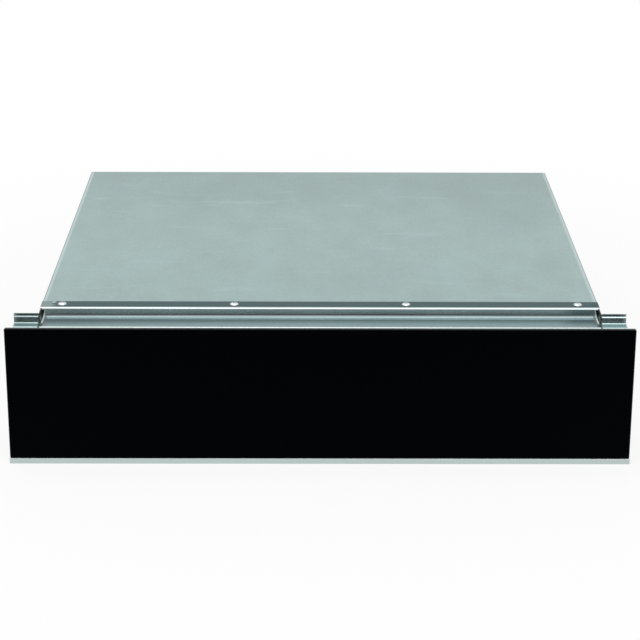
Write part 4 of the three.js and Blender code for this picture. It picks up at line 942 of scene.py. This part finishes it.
def rear_louvres():
    face = box_of("rear_panel")[1].y
    first = LOUVRE_BANK_Z - LOUVRE_PITCH * (LOUVRE_COUNT - 1) / 2
    for side, name in ((-1, "left"), (1, "right")):
        hoods = [louvre_hood((side * LOUVRE_BANK_X, face, first + LOUVRE_PITCH * k))
                 for k in range(LOUVRE_COUNT)]
        mesh = mesh_of(f"{name}_rear_louvres", *joined(*hoods))
        build(f"{name}_rear_louvres", mesh, "casing", "galvanised_sheet")


# ---- Anti-slip mat ----
def dotted_mat():
    """A thin mat with rounded corners and rows of low dots."""
    low, high = box_of("anti_slip_mat")
    r, top = MAT_CORNER, low.z + MAT_SHEET
    outline = rounded([(high.x - r, low.y + r, r, -90), (high.x - r, high.y - r, r, 0),
                       (low.x + r, high.y - r, r, 90), (low.x + r, low.y + r, r, 180)], MAT_CORNER_STEPS)
    parts = [stacked([[(x, y, z) for x, y in outline] for z in (low.z, top)])]
    profile = [(MAT_DOT_RADIUS, -MAT_DOT_SINK)]
    profile += [(MAT_DOT_RADIUS * out, (high.z - top) * up) for out, up in MAT_DOT_PROFILE]
    dot_verts, dot_faces = lathe(profile, MAT_DOT_SEGMENTS)
    middle = (low + high) / 2
    columns = int((high.x - middle.x - MAT_DOT_MARGIN) / MAT_DOT_PITCH)
    rows = int((high.y - middle.y - MAT_DOT_MARGIN) / MAT_DOT_PITCH)
    for i in range(-columns, columns + 1):
        for j in range(-rows, rows + 1):
            place = Vector((middle.x + i * MAT_DOT_PITCH, middle.y + j * MAT_DOT_PITCH, top))
            parts.append(([tuple(Vector(v) + place) for v in dot_verts], dot_faces))
    mat = build("dotted_mat", mesh_of("dotted_mat", *joined(*parts), smooth=False), "drawer", "mat_rubber")
    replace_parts(mat, "anti_slip_mat")


# ---- Controls ----
def flutes(angle, height):
    """The share of the knob's radius at an angle: fluted between its ends, plain at them."""
    start, end = KNOB_FLUTED
    wave = math.cos(KNOB_FLUTES * angle) if start < height < end else 0
    return 1 - KNOB_FLUTE_DEPTH * (0.5 - 0.5 * wave)


def fluted_knob():
    """A fluted knob with a dished face, a raised pointer and its stem, and the marks round it."""
    body = lathe([(KNOB_RADIUS * share, height) for share, height in KNOB_PROFILE],
                 KNOB_FLUTES * KNOB_FLUTE_SEGMENTS, flutes)
    stem = lathe(STEM_PROFILE, STEM_SEGMENTS)
    axis = joint_place("thermostat_turn")
    out = facing((axis.x, box_of("thermostat_knob")[0].y + KNOB_LENGTH, axis.z), FORWARD)
    mesh = mesh_of("fluted_knob", *placed(joined(body, stem), out))
    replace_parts(build("fluted_knob", mesh, "knob", "pale_plastic"), "thermostat_knob")
    (near, far), (bottom, top) = POINTER_REACH, POINTER_DEPTH
    pointer = block((-POINTER_HALF, near, bottom), (POINTER_HALF, far, top))
    mesh = mesh_of("knob_pointer", *placed(pointer, out), smooth=False)
    build("knob_pointer", mesh, "knob", "black_plastic")
    dial_ticks((axis.x, box_of("power_lamp")[0].y + LAMP_STAND, axis.z))


def dial_ticks(centre):
    """Marks that widen with the heat, printed round the knob on the plate."""
    parts = []
    for k in range(TICK_COUNT):
        half = TICK_HALF + TICK_GROWTH * k
        turn = Matrix.Rotation(-math.radians(TICK_SPAN * k / (TICK_COUNT - 1)), 4, "Z")
        tick = block((-half, TICK_REACH[0], 0), (half, TICK_REACH[1], PRINT_THICKNESS))
        parts.append(placed(tick, facing(centre, FORWARD) @ turn))
    mesh = mesh_of("dial_ticks", *joined(*parts), smooth=False)
    build("dial_ticks", mesh, "casing", "black_plastic", print_white)


def rocker_marks():
    """A bar above and a ring below, printed on the two halves of the rocker."""
    pivot = Matrix.Translation(joint_place("power_rock") * MM)
    tilt = pivot @ Matrix.Rotation(math.radians(ROCKER_TILT), 4, "X")
    slope = (ROCKER_HORN - ROCKER_DIP) / ROCKER_HALF
    lean = math.atan(slope)
    depth = ROCKER_DIP + slope * MARK_RISE
    inner, outer = RING_RADII
    ring = [(inner, -PRINT_SINK), (inner, PRINT_THICKNESS), (outer, PRINT_THICKNESS), (outer, -PRINT_SINK)]
    wide, high = BAR_HALF
    marks = {
        "bar": (1, block((-wide, -high, -PRINT_SINK), (wide, high, PRINT_THICKNESS))),
        "ring": (-1, lathe(ring, RING_SEGMENTS, hollow=True)),
    }
    for name, (side, mark) in marks.items():
        out = facing((0, -depth, side * MARK_RISE), (0, -math.cos(lean), -side * math.sin(lean)))
        mesh = mesh_of(f"rocker_{name}", *placed(mark, tilt @ out), smooth=False)
        build(f"rocker_{name}", mesh, "rocker", "black_plastic", print_white)


dress_nodes()
rail_screws()
small_screws()
casing_buttons()
wing_seams()
glass_slab()
rear_louvres()
dotted_mat()
fluted_knob()
rocker_marks()


# ---- Floor, light and camera ----
def seen_ray(tree):
    """One for camera, glossy and transmission rays."""
    path = tree.nodes.new("ShaderNodeLightPath")
    result = path.outputs["Is Camera Ray"]
    for name in ("Is Glossy Ray", "Is Transmission Ray"):
        either = tree.nodes.new("ShaderNodeMath")
        either.operation = "MAXIMUM"
        tree.links.new(result, either.inputs[0])
        tree.links.new(path.outputs[name], either.inputs[1])
        result = either.outputs[0]
    return result


def floor():
    """A white floor that keeps a faint shadow near the object and fades to the white background."""
    mesh = bpy.data.meshes.new("floor")
    corners = [(x * FLOOR_HALF, y * FLOOR_HALF, 0) for x, y in ((-1, -1), (1, -1), (1, 1), (-1, 1))]
    mesh.from_pydata(corners, [], [(0, 1, 2, 3)])
    obj = bpy.data.objects.new("floor", mesh)
    bpy.context.scene.collection.objects.link(obj)
    s = Surface("floor", roughness=0.9, Specular_IOR_Level=0.0)
    s.colour(s.mixed(s.noise((2, 2, 2)), (0.93, 0.93, 0.93), (0.95, 0.95, 0.95)))
    from_middle = s.node("ShaderNodeVectorMath", operation="LENGTH")
    s.link(s.place, from_middle.inputs[0])
    white = s.ranged(from_middle.outputs["Value"], *FLOOR_FADE, FLOOR_GLOW, 1.0, smooth=True)
    glow = s.node("ShaderNodeEmission")
    mix = s.node("ShaderNodeMixShader")
    s.link(s.product(seen_ray(s.tree), white), mix.inputs["Fac"])
    s.link(s.shader.outputs["BSDF"], mix.inputs[1])
    s.link(glow.outputs["Emission"], mix.inputs[2])
    s.link(mix.outputs["Shader"], s.tree.nodes["Material Output"].inputs["Surface"])
    mesh.materials.append(s.material)


def world():
    """An even light, seen as plain white behind the object and in its reflections."""
    made = bpy.data.worlds.new("studio")
    made.use_nodes = True
    tree = made.node_tree
    tree.nodes.clear()
    mix = tree.nodes.new("ShaderNodeMixShader")
    tree.links.new(seen_ray(tree), mix.inputs["Fac"])
    for place, radiance in ((1, WORLD_RADIANCE), (2, 1.0)):
        background = tree.nodes.new("ShaderNodeBackground")
        background.inputs["Color"].default_value = (1, 1, 1, 1)
        background.inputs["Strength"].default_value = radiance
        tree.links.new(background.outputs[0], mix.inputs[place])
    output = tree.nodes.new("ShaderNodeOutputWorld")
    tree.links.new(mix.outputs[0], output.inputs["Surface"])
    bpy.context.scene.world = made


def softbox(name, place, target, width, depth, radiance):
    """A rectangular area light of an even radiance, turned to its target."""
    light = bpy.data.lights.new(name, "AREA")
    light.shape = "RECTANGLE"
    light.size, light.size_y = width, depth
    light.energy = radiance * math.pi * width * depth
    obj = bpy.data.objects.new(name, light)
    obj.matrix_world = Matrix.Translation(place) @ standing(Vector(place) - Vector(target))
    bpy.context.scene.collection.objects.link(obj)


def camera():
    data = bpy.data.cameras.new("camera")
    data.sensor_width = CAMERA_SENSOR
    data.lens = CAMERA_LENS
    data.clip_start, data.clip_end = CAMERA_CLIP
    obj = bpy.data.objects.new("camera", data)
    obj.matrix_world = (Matrix.Translation(CAMERA_PLACE)
                        @ Matrix.Rotation(math.radians(CAMERA_YAW), 4, "Z")
                        @ Matrix.Rotation(math.radians(90 - CAMERA_PITCH), 4, "X")
                        @ Matrix.Rotation(math.radians(CAMERA_ROLL), 4, "Z"))
    bpy.context.scene.collection.objects.link(obj)
    bpy.context.scene.camera = obj


floor()
world()
for light_name, layout in SOFTBOXES.items():
    softbox(light_name, *layout)
camera()
bpy.context.scene.view_settings.view_transform = "Standard"
